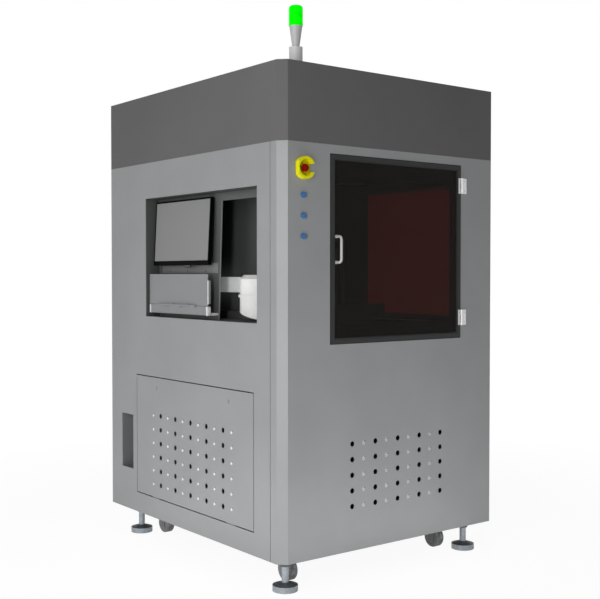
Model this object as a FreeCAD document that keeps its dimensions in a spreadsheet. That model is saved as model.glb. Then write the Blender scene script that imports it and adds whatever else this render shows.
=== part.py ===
import FreeCAD
import Part
import Sketcher
import os
import re

# Floor-standing resin printer. Millimetres. X runs right along the front, Y to the back, Z up.
# The origin is on the floor under the middle of the cabinet.

Vector = FreeCAD.Vector
Rotation = FreeCAD.Rotation
doc = FreeCAD.newDocument("resin_printer")

# Driving sizes
SIZES = {
    # cabinet
    "cabinet_width": 1150, "cabinet_depth": 1330, "body_height": 1850, "floor_gap": 110, "hood_height": 294,
    "skin": 3, "corner_bevel": 30, "corner_return": 68, "panel_seam": 3,
    "base_thickness": 10, "post_width": 36, "optics_thickness": 12, "optics_drop": 6,
    # clearances
    "slide_gap": 0.3, "running_gap": 0.05,
    # front door
    "door_middle": 7, "door_width": 703, "door_drop": 35.5, "door_height": 716.5, "door_thickness": 25,
    "door_proud": 2, "door_gap": 2, "door_border": 17.5, "glass_thickness": 8, "glass_recess": 4,
    "hinge_inset": 84, "hinge_height": 64, "hinge_leaf": 3, "hinge_reach": 30, "hinge_cover": 17,
    "knuckle_radius": 6, "knuckle_gap": 0.5, "hinge_pin_radius": 3, "hinge_forward": 8.5, "hinge_side": 1,
    "handle_inset": 12.8, "handle_length": 98, "handle_reach": 30, "handle_radius": 5, "handle_bend": 14,
    # front controls
    "control_inset": 101, "estop_drop": 60.5, "guard_radius": 42, "guard_wall": 11, "guard_depth": 20,
    "guard_slot": 32, "guard_flat": 35, "estop_radius": 14, "estop_stem": 8, "estop_reach": 15,
    "estop_head": 8,
    "button_drop": 99, "button_pitch": 76, "button_radius": 11, "button_reach": 8, "button_depth": 20,
    "button_collar": 3,
    # vents
    "vent_radius": 10.5, "dimple_depth": 2.2, "front_vent_pitch": 59.7, "side_vent_pitch": 61.3,
    "vent_row_pitch": 60.5, "front_vent_middle": 4, "front_vent_rise": 294, "side_vent_rise": 209.5,
    # niche in the left side
    "niche_front_inset": 154, "niche_back_inset": 324, "niche_drop": 156, "niche_height": 517,
    "niche_clearance": 3, "liner": 2, "ledge_depth": 47, "ledge_height": 31,
    "backing_inset": 67, "backing_thickness": 3, "backing_width": 484, "backing_lean": 27,
    "monitor_gap": 21, "monitor_width": 448, "monitor_height": 278, "monitor_thickness": 14,
    "monitor_tilt": 3.1, "monitor_bezel": 7, "monitor_chin": 19, "screen_thickness": 3, "screen_recess": 1,
    "pivot_drop": 156, "pivot_back": 10, "pivot_forward": 10.5, "pivot_pin_radius": 4, "lug_radius": 8,
    "lug_width": 60, "ear_width": 8,
    "tray_gap": 13, "tray_width": 475, "tray_height": 130, "tray_thickness": 15, "tray_recess": 10,
    "tray_sheet": 3, "tray_lip_rise": 8, "tray_lip_height": 96,
    "tray_foot": 55, "tray_foot_width": 470, "tray_foot_gap": 18, "strap_inset": 6, "strap_width": 10,
    "strap_height": 8, "tray_seam": 1, "tray_knuckle": 4.5, "tray_pin_radius": 2,
    "tray_knuckle_length": 60, "tray_web": 7,
    "canister_back": 102, "canister_inset": 166, "canister_radius": 70, "canister_toe": 5,
    "canister_heel": 47, "canister_rise": 183, "canister_chamfer": 16, "bead_rise": 100, "bead_radius": 5.5,
    "beam_depth": 52, "beam_rise": 110, "beam_height": 64, "beam_run": 405,
    # service panel, latches and cable recess
    "service_inset": 179, "service_spacing": 38, "service_rise": 92, "service_height": 525,
    "service_gap": 4, "hook_length": 20, "hook_width": 60, "hook_inset": 160,
    "latch_drop": 46, "latch_front_inset": 169, "latch_rear_inset": 176, "latch_radius": 11, "latch_shaft": 6,
    "latch_shank": 8, "cam_length": 58, "cam_width": 14, "cam_thickness": 3,
    "recess_inset": 98, "recess_width": 106, "recess_rise": 187, "recess_height": 245, "recess_depth": 60,
    "gland_radius": 15, "gland_bore": 8, "gland_length": 20, "gland_rise": 48,
    # chamber
    "chamber_half": 345, "chamber_depth": 537, "chamber_sill": 71, "chamber_head": 75.5,
    "jamb": 20, "jamb_bottom": 20, "jamb_top": 12, "jamb_clearance": 4, "mouth_left": 330, "mouth_right": 324,
    "beam_hole_radius": 80, "plate_hole_clear": 20, "apron_edge": 27, "apron_back": 18, "slot_clearance": 6,
    # vat, platform and lifting gear
    "vat_half": 330, "vat_front_gap": 13, "vat_depth": 510, "vat_height": 335, "vat_drop": 10, "vat_wall": 6,
    "stand_inset": 5, "stand_leg": 40,
    "platform_half": 240, "platform_depth": 410, "resin_drop": 20, "platform_thickness": 12,
    "platform_hole": 6, "platform_pitch": 40, "lift_travel": 280,
    "hanger_middle": 150, "hanger_width": 20, "hanger_depth": 24, "hanger_gap": 26, "hanger_rise": 335,
    "arm_height": 40, "carriage_half": 160, "carriage_drop": 40, "carriage_height": 120,
    "carriage_thickness": 40,
    "column_half": 200, "column_gap": 95, "column_thickness": 25, "column_over": 40, "rail_middle": 120,
    "rail_width": 20, "rail_depth": 20, "rail_over": 50,
    "screw_radius": 10, "screw_forward": 40, "motor_width": 80, "motor_gap": 100, "motor_height": 110,
    "bearing_gap": 60, "bearing_height": 30, "bearing_half": 25,
    # recoater
    "way_width": 20, "way_height": 20, "recoater_gap": 2, "recoater_depth": 50, "recoater_height": 40,
    "recoater_back": 67, "blade_half": 300, "blade_thickness": 6, "blade_gap": 3,
    # optics in the hood
    "laser_left": -350, "laser_length": 500, "laser_gap": 298, "laser_width": 130, "laser_height": 130,
    "scan_height": 60, "scan_offset": 42, "galvo_radius": 15, "galvo_length": 70, "galvo_shaft": 3,
    "galvo_socket": 12, "scan_mirror_length": 26, "scan_mirror_width": 24, "scan_mirror_thickness": 3,
    "scan_base": 8, "scan_wall": 14,
    # control cabinet and exhaust
    "control_box_gap": 42, "control_box_inset": 336, "control_stand_gap": 25, "control_recess_gap": 129,
    "control_box_height": 440,
    "exhaust_x": 200, "exhaust_drop": 266, "exhaust_radius": 50, "exhaust_wall": 2, "exhaust_reach": 38,
    "exhaust_flange": 65, "exhaust_flange_thickness": 3,
    # stack lamp
    "lamp_side_inset": 135, "lamp_front_inset": 90, "lamp_flange_radius": 38, "lamp_flange": 12,
    "lamp_base_radius": 25.5, "lamp_base": 71, "neck_low_radius": 13.3, "neck_high_radius": 24.5,
    "neck_height": 79, "lens_radius": 26.5, "lens_height": 76, "lens_round": 10,
    # levelling feet and castors
    "foot_left_inset": 55, "foot_right_inset": 141, "foot_front_inset": 51, "foot_back_inset": 180,
    "pad_radius": 48, "pad_height": 22, "pad_cone": 10, "pad_neck": 16, "stem_radius": 13.5, "stem_above": 40,
    "boss_radius": 20, "boss_height": 18,
    "castor_left_inset": 115, "castor_right_inset": 250, "castor_front_inset": 133, "castor_back_inset": 283,
    "castor_trail": 18, "castor_lift": 12, "wheel_radius": 42, "wheel_width": 36, "wheel_round": 5,
    "axle_radius": 5, "fork_gap": 1, "fork_plate": 4, "fork_half": 16, "fork_top": 10, "turn_gap": 0.3,
    "kingpin_radius": 6, "kingpin_length": 9,
}

# Places that pieces share, worked out from the sizes and from each other
PLACES = {
    # cabinet faces and levels
    "right": "cabinet_width / 2",
    "left": "-cabinet_width / 2",
    "front": "-cabinet_depth / 2",
    "back": "cabinet_depth / 2",
    "bottom": "floor_gap",
    "deck": "bottom + base_thickness",
    "top": "bottom + body_height",
    "seam": "top - hood_height",
    "optics_top": "seam - optics_drop",
    "optics_low": "optics_top - optics_thickness",
    # front door and controls
    "door_left": "door_middle - door_width / 2",
    "door_right": "door_middle + door_width / 2",
    "door_top": "seam - door_drop",
    "door_bottom": "door_top - door_height",
    "door_face": "front - door_proud",
    "door_rear": "door_face + door_thickness",
    "glass_face": "door_face + glass_recess",
    "hinge_x": "door_right + hinge_side",
    "hinge_y": "front - hinge_forward",
    "knuckle": "hinge_height / 3",
    "control_x": "left + control_inset",
    "estop_z": "door_top - estop_drop",
    "button_z": "estop_z - button_drop",
    # vents; ball is the radius of the ball that presses a dimple of the vent's width
    "front_vent_z": "bottom + front_vent_rise",
    "side_vent_y": "(service_front + service_back) / 2",
    "side_vent_z": "service_bottom + side_vent_rise",
    "ball": "(vent_radius * vent_radius + dimple_depth * dimple_depth) / (2 * dimple_depth)",
    # niche
    "niche_front": "front + niche_front_inset",
    "niche_back": "back - niche_back_inset",
    "niche_top": "seam - niche_drop",
    "niche_bottom": "niche_top - niche_height",
    "niche_mouth": "left + skin",
    "niche_wall": "-chamber_half - skin - niche_clearance - liner",
    "backing": "niche_mouth + backing_inset",
    "backing_edge": "niche_back - backing_width",
    "pivot_x": "backing - pivot_back",
    "pivot_z": "niche_top - pivot_drop",
    "monitor_middle": "niche_back - monitor_gap - monitor_width / 2",
    "tray_middle": "niche_back - tray_gap - tray_width / 2",
    "tray_face": "niche_mouth + tray_recess",
    "tray_hinge_x": "tray_face - tray_knuckle - slide_gap",
    "tray_hinge_z": "niche_bottom + tray_foot + tray_seam / 2",
    "canister_x": "niche_wall - canister_back",
    "canister_y": "niche_front + canister_inset",
    "canister_high": "niche_bottom + canister_rise",
    "canister_fall": "(canister_heel - canister_toe) / 2",
    "bead_z": "niche_bottom + bead_rise",
    "beam_low": "niche_bottom + beam_rise",
    "beam_high": "beam_low + beam_height",
    "beam_end": "canister_y + beam_run",
    # service panel and cable recess
    "service_front": "front + service_inset",
    "service_back": "recess_front - service_spacing",
    "service_bottom": "bottom + service_rise",
    "service_top": "service_bottom + service_height",
    "latch_front": "service_front + latch_front_inset",
    "latch_rear": "service_back - latch_rear_inset",
    "latch_z": "service_top - latch_drop",
    "recess_back": "back - recess_inset",
    "recess_front": "recess_back - recess_width",
    "recess_bottom": "bottom + recess_rise",
    "recess_top": "recess_bottom + recess_height",
    "gland_z": "recess_bottom + gland_rise",
    # chamber, vat and lifting gear
    "bulkhead": "door_rear + jamb_clearance",
    "chamber_front": "bulkhead + skin",
    "chamber_back": "chamber_front + chamber_depth",
    "chamber_bottom": "door_bottom + chamber_sill",
    "chamber_top": "door_top - chamber_head",
    "chamber_middle": "chamber_front + chamber_depth / 2",
    "vat_front": "chamber_front + vat_front_gap",
    "vat_back": "vat_front + vat_depth",
    "vat_rim": "chamber_bottom - vat_drop",
    "vat_bottom": "vat_rim - vat_height",
    "stand_side": "vat_half - stand_inset",
    "platform_top": "vat_rim - resin_drop",
    "hanger_back": "chamber_back - hanger_gap",
    "hanger_front": "hanger_back - hanger_depth",
    "arm_low": "platform_top + hanger_rise",
    "arm_high": "arm_low + arm_height",
    "slot_top": "arm_high + slot_clearance",
    "column_front": "chamber_back + skin + column_gap",
    "rail_face": "column_front - rail_depth",
    "carriage_low": "arm_low - carriage_drop",
    "carriage_high": "carriage_low + carriage_height",
    "carriage_back": "rail_face - slide_gap",
    "carriage_front": "carriage_back - carriage_thickness",
    "rail_low": "carriage_low - lift_travel - rail_over",
    "rail_high": "carriage_high + rail_over",
    "screw_y": "column_front - screw_forward",
    "motor_top": "rail_low - motor_gap",
    "motor_low": "motor_top - motor_height",
    "bearing_low": "rail_high + bearing_gap",
    "bearing_high": "bearing_low + bearing_height",
    "column_top": "bearing_high + column_over",
    # optics, control cabinet and exhaust
    "laser_front": "chamber_back + laser_gap",
    "scan_z": "optics_top + scan_height",
    "scan_back": "chamber_middle + scan_offset",
    "control_left": "niche_mouth + control_box_gap",
    "control_right": "-stand_side - control_stand_gap",
    "control_front": "service_front + control_box_inset",
    "control_back": "recess_front - liner - control_recess_gap",
    "exhaust_z": "seam - exhaust_drop",
    # lamp, feet and castors
    "lamp_x": "left + lamp_side_inset",
    "lamp_y": "front + lamp_front_inset",
    "neck_top": "lamp_base + neck_height",
    "foot_left": "left + foot_left_inset",
    "foot_right": "right - foot_right_inset",
    "foot_front": "front + foot_front_inset",
    "foot_back": "back - foot_back_inset",
    "castor_left": "left + castor_left_inset",
    "castor_right": "right - castor_right_inset",
    "castor_front": "front + castor_front_inset",
    "castor_back": "back - castor_back_inset",
    "axle_z": "castor_lift + wheel_radius",
}

sheet = doc.addObject("Spreadsheet::Sheet", "sizes")
for row, (alias, number) in enumerate(SIZES.items(), start=1):
    sheet.set(f"A{row}", alias)
    sheet.set(f"B{row}", str(number))
    sheet.setAlias(f"B{row}", alias)
doc.recompute()

WORD = re.compile(r"[a-z]+(?:_[a-z]+)*")
nodes = []


def spell(text):
    """Expression with each shared place written out and each size named in the sheet."""
    def word(match):
        name = match.group()
        if name in PLACES:
            return f"({spell(PLACES[name])})"
        return f"sizes.{name}" if name in SIZES else name
    return WORD.sub(word, text)


def bind(item, name, text):
    """Ties a property of an item to an expression in sizes and places."""
    item.setExpression(name, spell(text))


def place(item, x, y, z):
    """Ties an item's position to three expressions."""
    for axis, text in zip("xyz", (x, y, z)):
        bind(item, "Placement.Base." + axis, text)


def box(low, high):
    """Block between two corners."""
    block = doc.addObject("Part::Box", "block")
    place(block, *low)
    for name, start, end in zip(("Length", "Width", "Height"), low, high):
        bind(block, name, f"({end}) - ({start})")
    return block


def aim(axis):
    """Turn that lays a piece made along Z along another axis."""
    turns = {"x": Rotation(Vector(0, 1, 0), 90), "y": Rotation(Vector(1, 0, 0), -90), "z": Rotation()}
    return FreeCAD.Placement(Vector(), turns[axis])


def rod(axis, start, radius, length):
    """Cylinder from a start point along an axis."""
    solid = doc.addObject("Part::Cylinder", "rod")
    solid.Placement = aim(axis)
    place(solid, *start)
    bind(solid, "Radius", radius)
    bind(solid, "Height", length)
    return solid


def group(pieces):
    """Several separate solids as one object."""
    bundle = doc.addObject("Part::Compound", "group")
    bundle.Links = pieces
    return bundle


def fuse(*pieces):
    """One solid from touching pieces."""
    whole = doc.addObject("Part::MultiFuse", "fuse")
    whole.Shapes = list(pieces)
    whole.Refine = True
    return whole


def cut(base, *tools):
    """A piece with other pieces taken out of it."""
    result = doc.addObject("Part::Cut", "cut")
    result.Base = base
    result.Tool = tools[0] if len(tools) == 1 else group(list(tools))
    result.Refine = True
    return result


def node(name, item):
    """Names a finished sub-part."""
    item.Label = name
    nodes.append(item)
    return item


def origin_plane(body, role):
    """Origin plane of a body by its role."""
    return next(item for item in body.Origin.OriginFeatures if item.Role == role)


def outline(body, role, points):
    """Closed outline of straight sides whose corners are pairs of expressions."""
    sketch = body.newObject("Sketcher::SketchObject", "outline")
    sketch.AttachmentSupport = [(origin_plane(body, role), "")]
    sketch.MapMode = "FlatFace"
    count = len(points)
    turn = Rotation(Vector(0, 0, 1), 360 / count)
    corner = Vector(10, 0, 0)
    for index in range(count):
        following = turn.multVec(corner)
        sketch.addGeometry(Part.LineSegment(corner, following))
        corner = following
    for index in range(count):
        sketch.addConstraint(Sketcher.Constraint("Coincident", index, 2, (index + 1) % count, 1))
    for index, corner_text in enumerate(points):
        for kind, text in zip(("DistanceX", "DistanceY"), corner_text):
            number = sketch.addConstraint(Sketcher.Constraint(kind, -1, 1, index, 1, 1.0))
            bind(sketch, f"Constraints[{number}]", text)
    return sketch


def turned(points):
    """Round piece: an outline of radius and height pairs turned about Z."""
    body = doc.addObject("PartDesign::Body", "turned")
    sketch = outline(body, "XZ_Plane", points)
    turn = body.newObject("PartDesign::Revolution", "turn")
    turn.Profile = sketch
    turn.ReferenceAxis = (sketch, ["V_Axis"])
    turn.Angle = 360
    return body


def round_rims(body, rims, radius):
    """Rounds the circular rims of a turned piece that a test picks out."""
    doc.recompute()
    base = body.Tip
    names = [f"Edge{i}" for i, edge in enumerate(base.Shape.Edges, start=1) if rims(edge)]
    fillet = body.newObject("PartDesign::Fillet", "round")
    fillet.Base = (base, names)
    bind(fillet, "Radius", radius)
    return body


def padded(role, points, thickness):
    """Plate: an outline given a thickness along the plane's normal."""
    body = doc.addObject("PartDesign::Body", "plate")
    sketch = outline(body, role, points)
    pad = body.newObject("PartDesign::Pad", "pad")
    pad.Profile = sketch
    bind(pad, "Length", thickness)
    return body


def bevelled_front(inset, back, low, high):
    """Upright block with the cabinet's bevelled front corners, set in evenly from its outer faces."""
    side = f"(right - {inset})"
    face = f"(front + {inset})"
    leg = f"(corner_bevel - {inset} * (2 - sqrt(2)))"
    half = [(f"{side} - {leg}", face), (side, f"{face} + {leg}"), (side, back)]
    points = half + [(f"-({x})", y) for x, y in reversed(half)]
    block = padded("XY_Plane", points, f"{high} - {low}")
    place(block, "0", "0", low)
    return block


def frame_ring(low, high, inner_low, inner_high):
    """Block with a smaller block taken out of it."""
    return cut(box(low, high), box(inner_low, inner_high))


# Cabinet


def base_plate():
    plate = bevelled_front("skin", "back - skin", "bottom", "deck")
    bosses = []
    holes = []
    for x in ("foot_left", "foot_right"):
        for y in ("foot_front", "foot_back"):
            bosses.append(rod("z", (x, y, "bottom - boss_height"), "boss_radius", "boss_height"))
            start = (x, y, "bottom - boss_height - skin")
            holes.append(rod("z", start, "stem_radius + running_gap",
                             "base_thickness + boss_height + 2 * skin"))
    for x in ("castor_left", "castor_right"):
        for y in ("castor_front", "castor_back"):
            holes.append(rod("z", (x, y, "bottom - skin"), "kingpin_radius + running_gap",
                             "base_thickness + skin"))
    node("base_plate", cut(fuse(plate, *bosses), *holes))


def corner_posts():
    posts = []
    for sign in ("-", ""):
        near = f"{sign}(right - skin - post_width)"
        far = f"{sign}(right - skin)"
        low_x, high_x = (far, near) if sign else (near, far)
        for front in ("(front + corner_bevel + skin)", "(back - skin - post_width)"):
            posts.append(box((low_x, front, "deck"), (high_x, f"{front} + post_width", "optics_low")))
    node("corner_posts", group(posts))


def vent_tools(rows, columns, first_is_hole, spot):
    """Through holes and pressed dimples, column by column in turn; spot gives each one's place and axis."""
    tools = []
    for column in range(columns):
        across = f"({column} - {(columns - 1) / 2})"
        for row in range(rows):
            up = f"({row} - {(rows - 1) / 2}) * vent_row_pitch"
            is_hole = (column % 2 == 0) == first_is_hole
            tools.append(spot(across, up, is_hole))
    return tools


def dimple(x, y, z):
    """Ball that presses a dimple of the vent's size; the point is its middle."""
    ball = doc.addObject("Part::Sphere", "dimple")
    bind(ball, "Radius", "ball")
    place(ball, x, y, z)
    return ball


def front_vent(across, up, is_hole):
    x = f"front_vent_middle + {across} * front_vent_pitch"
    z = f"front_vent_z + {up}"
    if is_hole:
        return rod("y", (x, "front - skin", z), "vent_radius", "3 * skin")
    return dimple(x, "front + dimple_depth - ball", z)


def side_vent(across, up, is_hole):
    y = f"side_vent_y + {across} * side_vent_pitch"
    z = f"side_vent_z + {up}"
    if is_hole:
        return rod("x", ("left - skin", y, z), "vent_radius", "3 * skin")
    return dimple("left + dimple_depth - ball", y, z)


def front_panel():
    end = "(front + corner_return)"
    shell = cut(bevelled_front("0", end, "bottom", "seam"),
                bevelled_front("skin", f"{end} + skin", "(bottom - skin)", "(seam + skin)"))
    tools = [box(("door_left - door_gap", "front - skin", "door_bottom - door_gap"),
                 ("door_right + door_gap", "front + 2 * skin", "door_top + door_gap"))]
    tools.append(rod("y", ("control_x", "front - skin", "estop_z"), "estop_stem + running_gap",
                     "3 * skin"))
    for index in range(3):
        height = f"button_z - {index} * button_pitch"
        tools.append(rod("y", ("control_x", "front - skin", height), "button_radius + running_gap",
                         "3 * skin"))
    node("front_panel", cut(shell, *tools, *vent_tools(5, 9, True, front_vent)))


def side_sheet(outer, inner):
    start = "front + corner_return + panel_seam"
    return box((outer, start, "bottom"), (inner, "back - skin", "seam"))


def left_panel():
    sheet_metal = side_sheet("left", "niche_mouth")
    before = "left - skin"
    behind = "niche_mouth + skin"
    niche = box((before, "niche_front", "niche_bottom"), (behind, "niche_back", "niche_top"))
    service = box((before, "service_front - service_gap", "service_bottom - service_gap"),
                  (behind, "service_back + service_gap", "service_top + service_gap"))
    recess = box((before, "recess_front", "recess_bottom"), (behind, "recess_back", "recess_top"))
    node("left_panel", cut(sheet_metal, niche, service, recess))


def right_panel():
    node("right_panel", side_sheet("right - skin", "right"))


def rear_panel():
    plate = box(("left", "back - skin", "bottom"), ("right", "back", "seam"))
    hole = rod("y", ("exhaust_x", "back - 2 * skin", "exhaust_z"), "exhaust_radius - exhaust_wall",
               "3 * skin")
    node("rear_panel", cut(plate, hole))


def hood_shell():
    outer = bevelled_front("0", "back", "seam", "top")
    inner = bevelled_front("skin", "(back - skin)", "(seam - skin)", "(top - skin)")
    node("hood_shell", cut(outer, inner))


# Niche in the left side


def niche_liner():
    outer = box(("niche_mouth", "niche_front - liner", "niche_bottom - liner"),
                ("niche_wall + liner", "niche_back + liner", "niche_top + liner"))
    inner = box(("niche_mouth - liner", "niche_front", "niche_bottom"),
                ("niche_wall", "niche_back", "niche_top"))
    ledge = box(("niche_wall - ledge_depth", "niche_front", "niche_bottom"),
                ("niche_wall", "niche_back", "niche_bottom + ledge_height"))
    notch = rod("z", ("canister_x", "canister_y", "niche_bottom"), "canister_radius + slide_gap",
                "ledge_height + skin")
    node("niche_liner", fuse(cut(outer, inner), cut(ledge, notch)))


def monitor_backing():
    """Backing panel with a leaning free edge, and the ears and pin that carry the monitor."""
    corners = [("backing_edge", "niche_bottom"), ("niche_back", "niche_bottom"),
               ("niche_back", "niche_top"), ("backing_edge - backing_lean", "niche_top")]
    panel = padded("YZ_Plane", corners, "backing_thickness")
    place(panel, "backing", "0", "0")
    pieces = [panel]
    inner = "(lug_width / 2 + slide_gap)"
    for near, far in ((f"-{inner} - ear_width", f"-{inner}"), (inner, f"{inner} + ear_width")):
        start = ("pivot_x - lug_radius", f"monitor_middle + {near}", "pivot_z - lug_radius")
        end = ("backing", f"monitor_middle + {far}", "pivot_z + lug_radius")
        pieces.append(box(start, end))
    length = f"(2 * {inner} + 2 * ear_width)"
    pieces.append(rod("y", ("pivot_x", f"monitor_middle - {length} / 2", "pivot_z"), "pivot_pin_radius",
                      length))
    node("monitor_backing", fuse(*pieces))


def tilt(item):
    """Leans a piece that is drawn about the monitor's pivot."""
    item.Placement = FreeCAD.Placement(Vector(), Rotation(Vector(0, 1, 0), 1))
    place(item, "pivot_x", "monitor_middle", "pivot_z")
    bind(item, "Placement.Rotation.Angle", "monitor_tilt")
    return item


def monitor():
    half_wide = "(monitor_width / 2)"
    half_high = "(monitor_height / 2)"
    rear = "(-pivot_forward)"
    front = f"({rear} - monitor_thickness)"
    glass_back = f"({front} + screen_thickness)"
    wide = f"({half_wide} - monitor_bezel)"
    high = f"({half_high} - monitor_bezel)"
    low = f"(monitor_chin - {half_high})"
    case = box((front, f"-{half_wide}", f"-{half_high}"), (rear, half_wide, half_high))
    window = box((f"{front} - skin", f"-{wide}", low), (glass_back, wide, high))
    lug = rod("y", ("0", "-lug_width / 2", "0"), "lug_radius", "lug_width")
    web = box((f"{rear} - skin", "-lug_width / 2", "-lug_radius"), ("0", "lug_width / 2", "lug_radius"))
    bore = rod("y", ("0", "-lug_width", "0"), "pivot_pin_radius + running_gap", "2 * lug_width")
    node("monitor_housing", tilt(cut(fuse(cut(case, window), lug, web), bore)))
    screen = box((f"{front} + screen_recess", f"-{wide}", low), (glass_back, wide, high))
    node("monitor_screen", tilt(group([screen])))


TRAY_KNUCKLES = 5


def tray_knuckles(first, reach_low, reach_high):
    """Every second knuckle of the tray's hinge, each with a web to its leaf."""
    pieces = []
    for index in range(first, TRAY_KNUCKLES, 2):
        start = f"(tray_middle + ({index} - {TRAY_KNUCKLES / 2}) * tray_knuckle_length + slide_gap / 2)"
        length = "(tray_knuckle_length - slide_gap)"
        pieces.append(rod("y", ("tray_hinge_x", start, "tray_hinge_z"), "tray_knuckle", length))
        low = ("tray_hinge_x", start, f"tray_hinge_z + {reach_low}")
        high = ("tray_face + liner", f"{start} + {length}", f"tray_hinge_z + {reach_high}")
        pieces.append(box(low, high))
    return pieces


def tray_pin(radius):
    length = f"({TRAY_KNUCKLES} * tray_knuckle_length - slide_gap)"
    return rod("y", ("tray_hinge_x", f"tray_middle - {length} / 2", "tray_hinge_z"), radius, length)


def tray_hinge_strip():
    """Fixed strip under the tray, carried off the backing panel by a strap at each end."""
    half = "(tray_foot_width / 2)"
    low = "(niche_bottom + tray_foot_gap)"
    strip = box(("tray_face", f"tray_middle - {half}", low),
                ("tray_face + tray_thickness", f"tray_middle + {half}", "niche_bottom + tray_foot"))
    straps = []
    end = f"({half} - strap_inset)"
    for near in (f"(tray_middle - {end})", f"(tray_middle + {end} - strap_width)"):
        far = f"{near} + strap_width"
        straps.append(box(("tray_face", near, low), ("backing", far, f"{low} + strap_height")))
    webs = tray_knuckles(0, "(-tray_seam - tray_web)", "(-tray_seam)")
    node("tray_hinge_strip", fuse(strip, *straps, *webs, tray_pin("tray_pin_radius")))


def keyboard_tray():
    """Folding sheet with a lip turned back along each side."""
    half = "(tray_width / 2)"
    low = "(niche_bottom + tray_foot + tray_seam)"
    pieces = [box(("tray_face", f"tray_middle - {half}", low),
                  ("tray_face + tray_sheet", f"tray_middle + {half}", f"{low} + tray_height"))]
    lip_low = f"({low} + tray_lip_rise)"
    for near in (f"(tray_middle - {half})", f"(tray_middle + {half} - tray_sheet)"):
        corner = ("tray_face + tray_thickness", f"{near} + tray_sheet", f"{lip_low} + tray_lip_height")
        pieces.append(box(("tray_face", near, lip_low), corner))
    pieces += tray_knuckles(1, "tray_seam", "(tray_seam + tray_web)")
    node("keyboard_tray", cut(fuse(*pieces), tray_pin("tray_pin_radius + running_gap")))


def resin_canister():
    """Beaded canister with a sloping floor, so that it drains to its front."""
    start = "niche_bottom + canister_toe - canister_fall"
    profile = [("0", start), ("canister_radius", start), ("canister_radius", "bead_z - bead_radius"),
               ("canister_radius + bead_radius", "bead_z - bead_radius"),
               ("canister_radius + bead_radius", "bead_z + bead_radius"),
               ("canister_radius", "bead_z + bead_radius"),
               ("canister_radius", "canister_high - canister_chamfer"),
               ("canister_radius - canister_chamfer", "canister_high"), ("0", "canister_high")]
    body = turned(profile)
    place(body, "canister_x", "canister_y", "0")
    high_end = ("canister_y + 2 * canister_radius", "niche_bottom + canister_heel + canister_fall")
    low_end = ("canister_y - 2 * canister_radius", "niche_bottom + canister_toe - canister_fall")
    below = [(end[0], "niche_bottom - canister_heel") for end in (low_end, high_end)]
    wedge = padded("YZ_Plane", [*below, high_end, low_end], "4 * canister_radius")
    place(wedge, "canister_x - 2 * canister_radius", "0", "0")
    node("resin_canister", cut(body, wedge))


def canister_beam():
    beam = box(("niche_wall - beam_depth", "niche_front", "beam_low"),
               ("niche_wall", "beam_end", "beam_high"))
    saddle = rod("z", ("canister_x", "canister_y", "beam_low - skin"), "canister_radius + slide_gap",
                 "beam_height + 2 * skin")
    node("canister_beam", cut(beam, saddle))


# Lower left side: service panel, latches and cable recess

LATCHES = {"front": "latch_front", "rear": "latch_rear"}


def service_panel():
    plate = box(("left", "service_front", "service_bottom"), ("niche_mouth", "service_back", "service_top"))
    pieces = [plate]
    for middle in ("(service_front + hook_inset)", "(service_back - hook_inset)"):
        near = f"{middle} - hook_width / 2"
        end = ("niche_mouth + slide_gap + skin", f"{middle} + hook_width / 2", "service_bottom + hook_length")
        pieces.append(box(("niche_mouth", near, "service_bottom"), end))
        pieces.append(box(("niche_mouth + slide_gap", near, "service_bottom - hook_length"), end))
    holes = []
    for y in LATCHES.values():
        holes.append(rod("x", ("left - skin", y, "latch_z"), "latch_radius + running_gap", "3 * skin"))
    node("service_panel", cut(fuse(*pieces), *holes, *vent_tools(6, 11, False, side_vent)))


def service_latch(name, y):
    """Flush head, shank and a cam that turns up behind the panel's surround."""
    head = rod("x", ("left", y, "latch_z"), "latch_radius", "skin")
    shank = rod("x", ("niche_mouth", y, "latch_z"), "latch_shaft", "latch_shank")
    start = "niche_mouth + latch_shank - cam_thickness"
    cam = box((start, f"{y} - cam_width / 2", "latch_z - cam_width / 2"),
              ("niche_mouth + latch_shank", f"{y} + cam_length", "latch_z + cam_width / 2"))
    node("service_latch_" + name, fuse(head, shank, cam))


def cable_recess():
    wall = "(niche_mouth + recess_depth)"
    outer = box(("niche_mouth", "recess_front - liner", "recess_bottom - liner"),
                (f"{wall} + liner", "recess_back + liner", "recess_top + liner"))
    inner = box(("niche_mouth - liner", "recess_front", "recess_bottom"), (wall, "recess_back", "recess_top"))
    middle = "(recess_front + recess_back) / 2"
    gland = rod("x", (f"{wall} - gland_length", middle, "gland_z"), "gland_radius", "gland_length")
    bore = rod("x", (f"{wall} - 2 * gland_length", middle, "gland_z"), "gland_bore", "3 * gland_length")
    node("cable_recess", cut(fuse(cut(outer, inner), gland), bore))


# Front door


def door_frame():
    low = ("door_left", "door_face", "door_bottom")
    high = ("door_right", "door_rear", "door_top")
    node("door_frame", frame_ring(low, high, *window_box("door_face - skin", "door_rear + skin")))


def window_box(front, back):
    return (("door_left + door_border", front, "door_bottom + door_border"),
            ("door_right - door_border", back, "door_top - door_border"))


def door_glass():
    node("door_glass", box(*window_box("glass_face", "glass_face + glass_thickness")))


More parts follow.
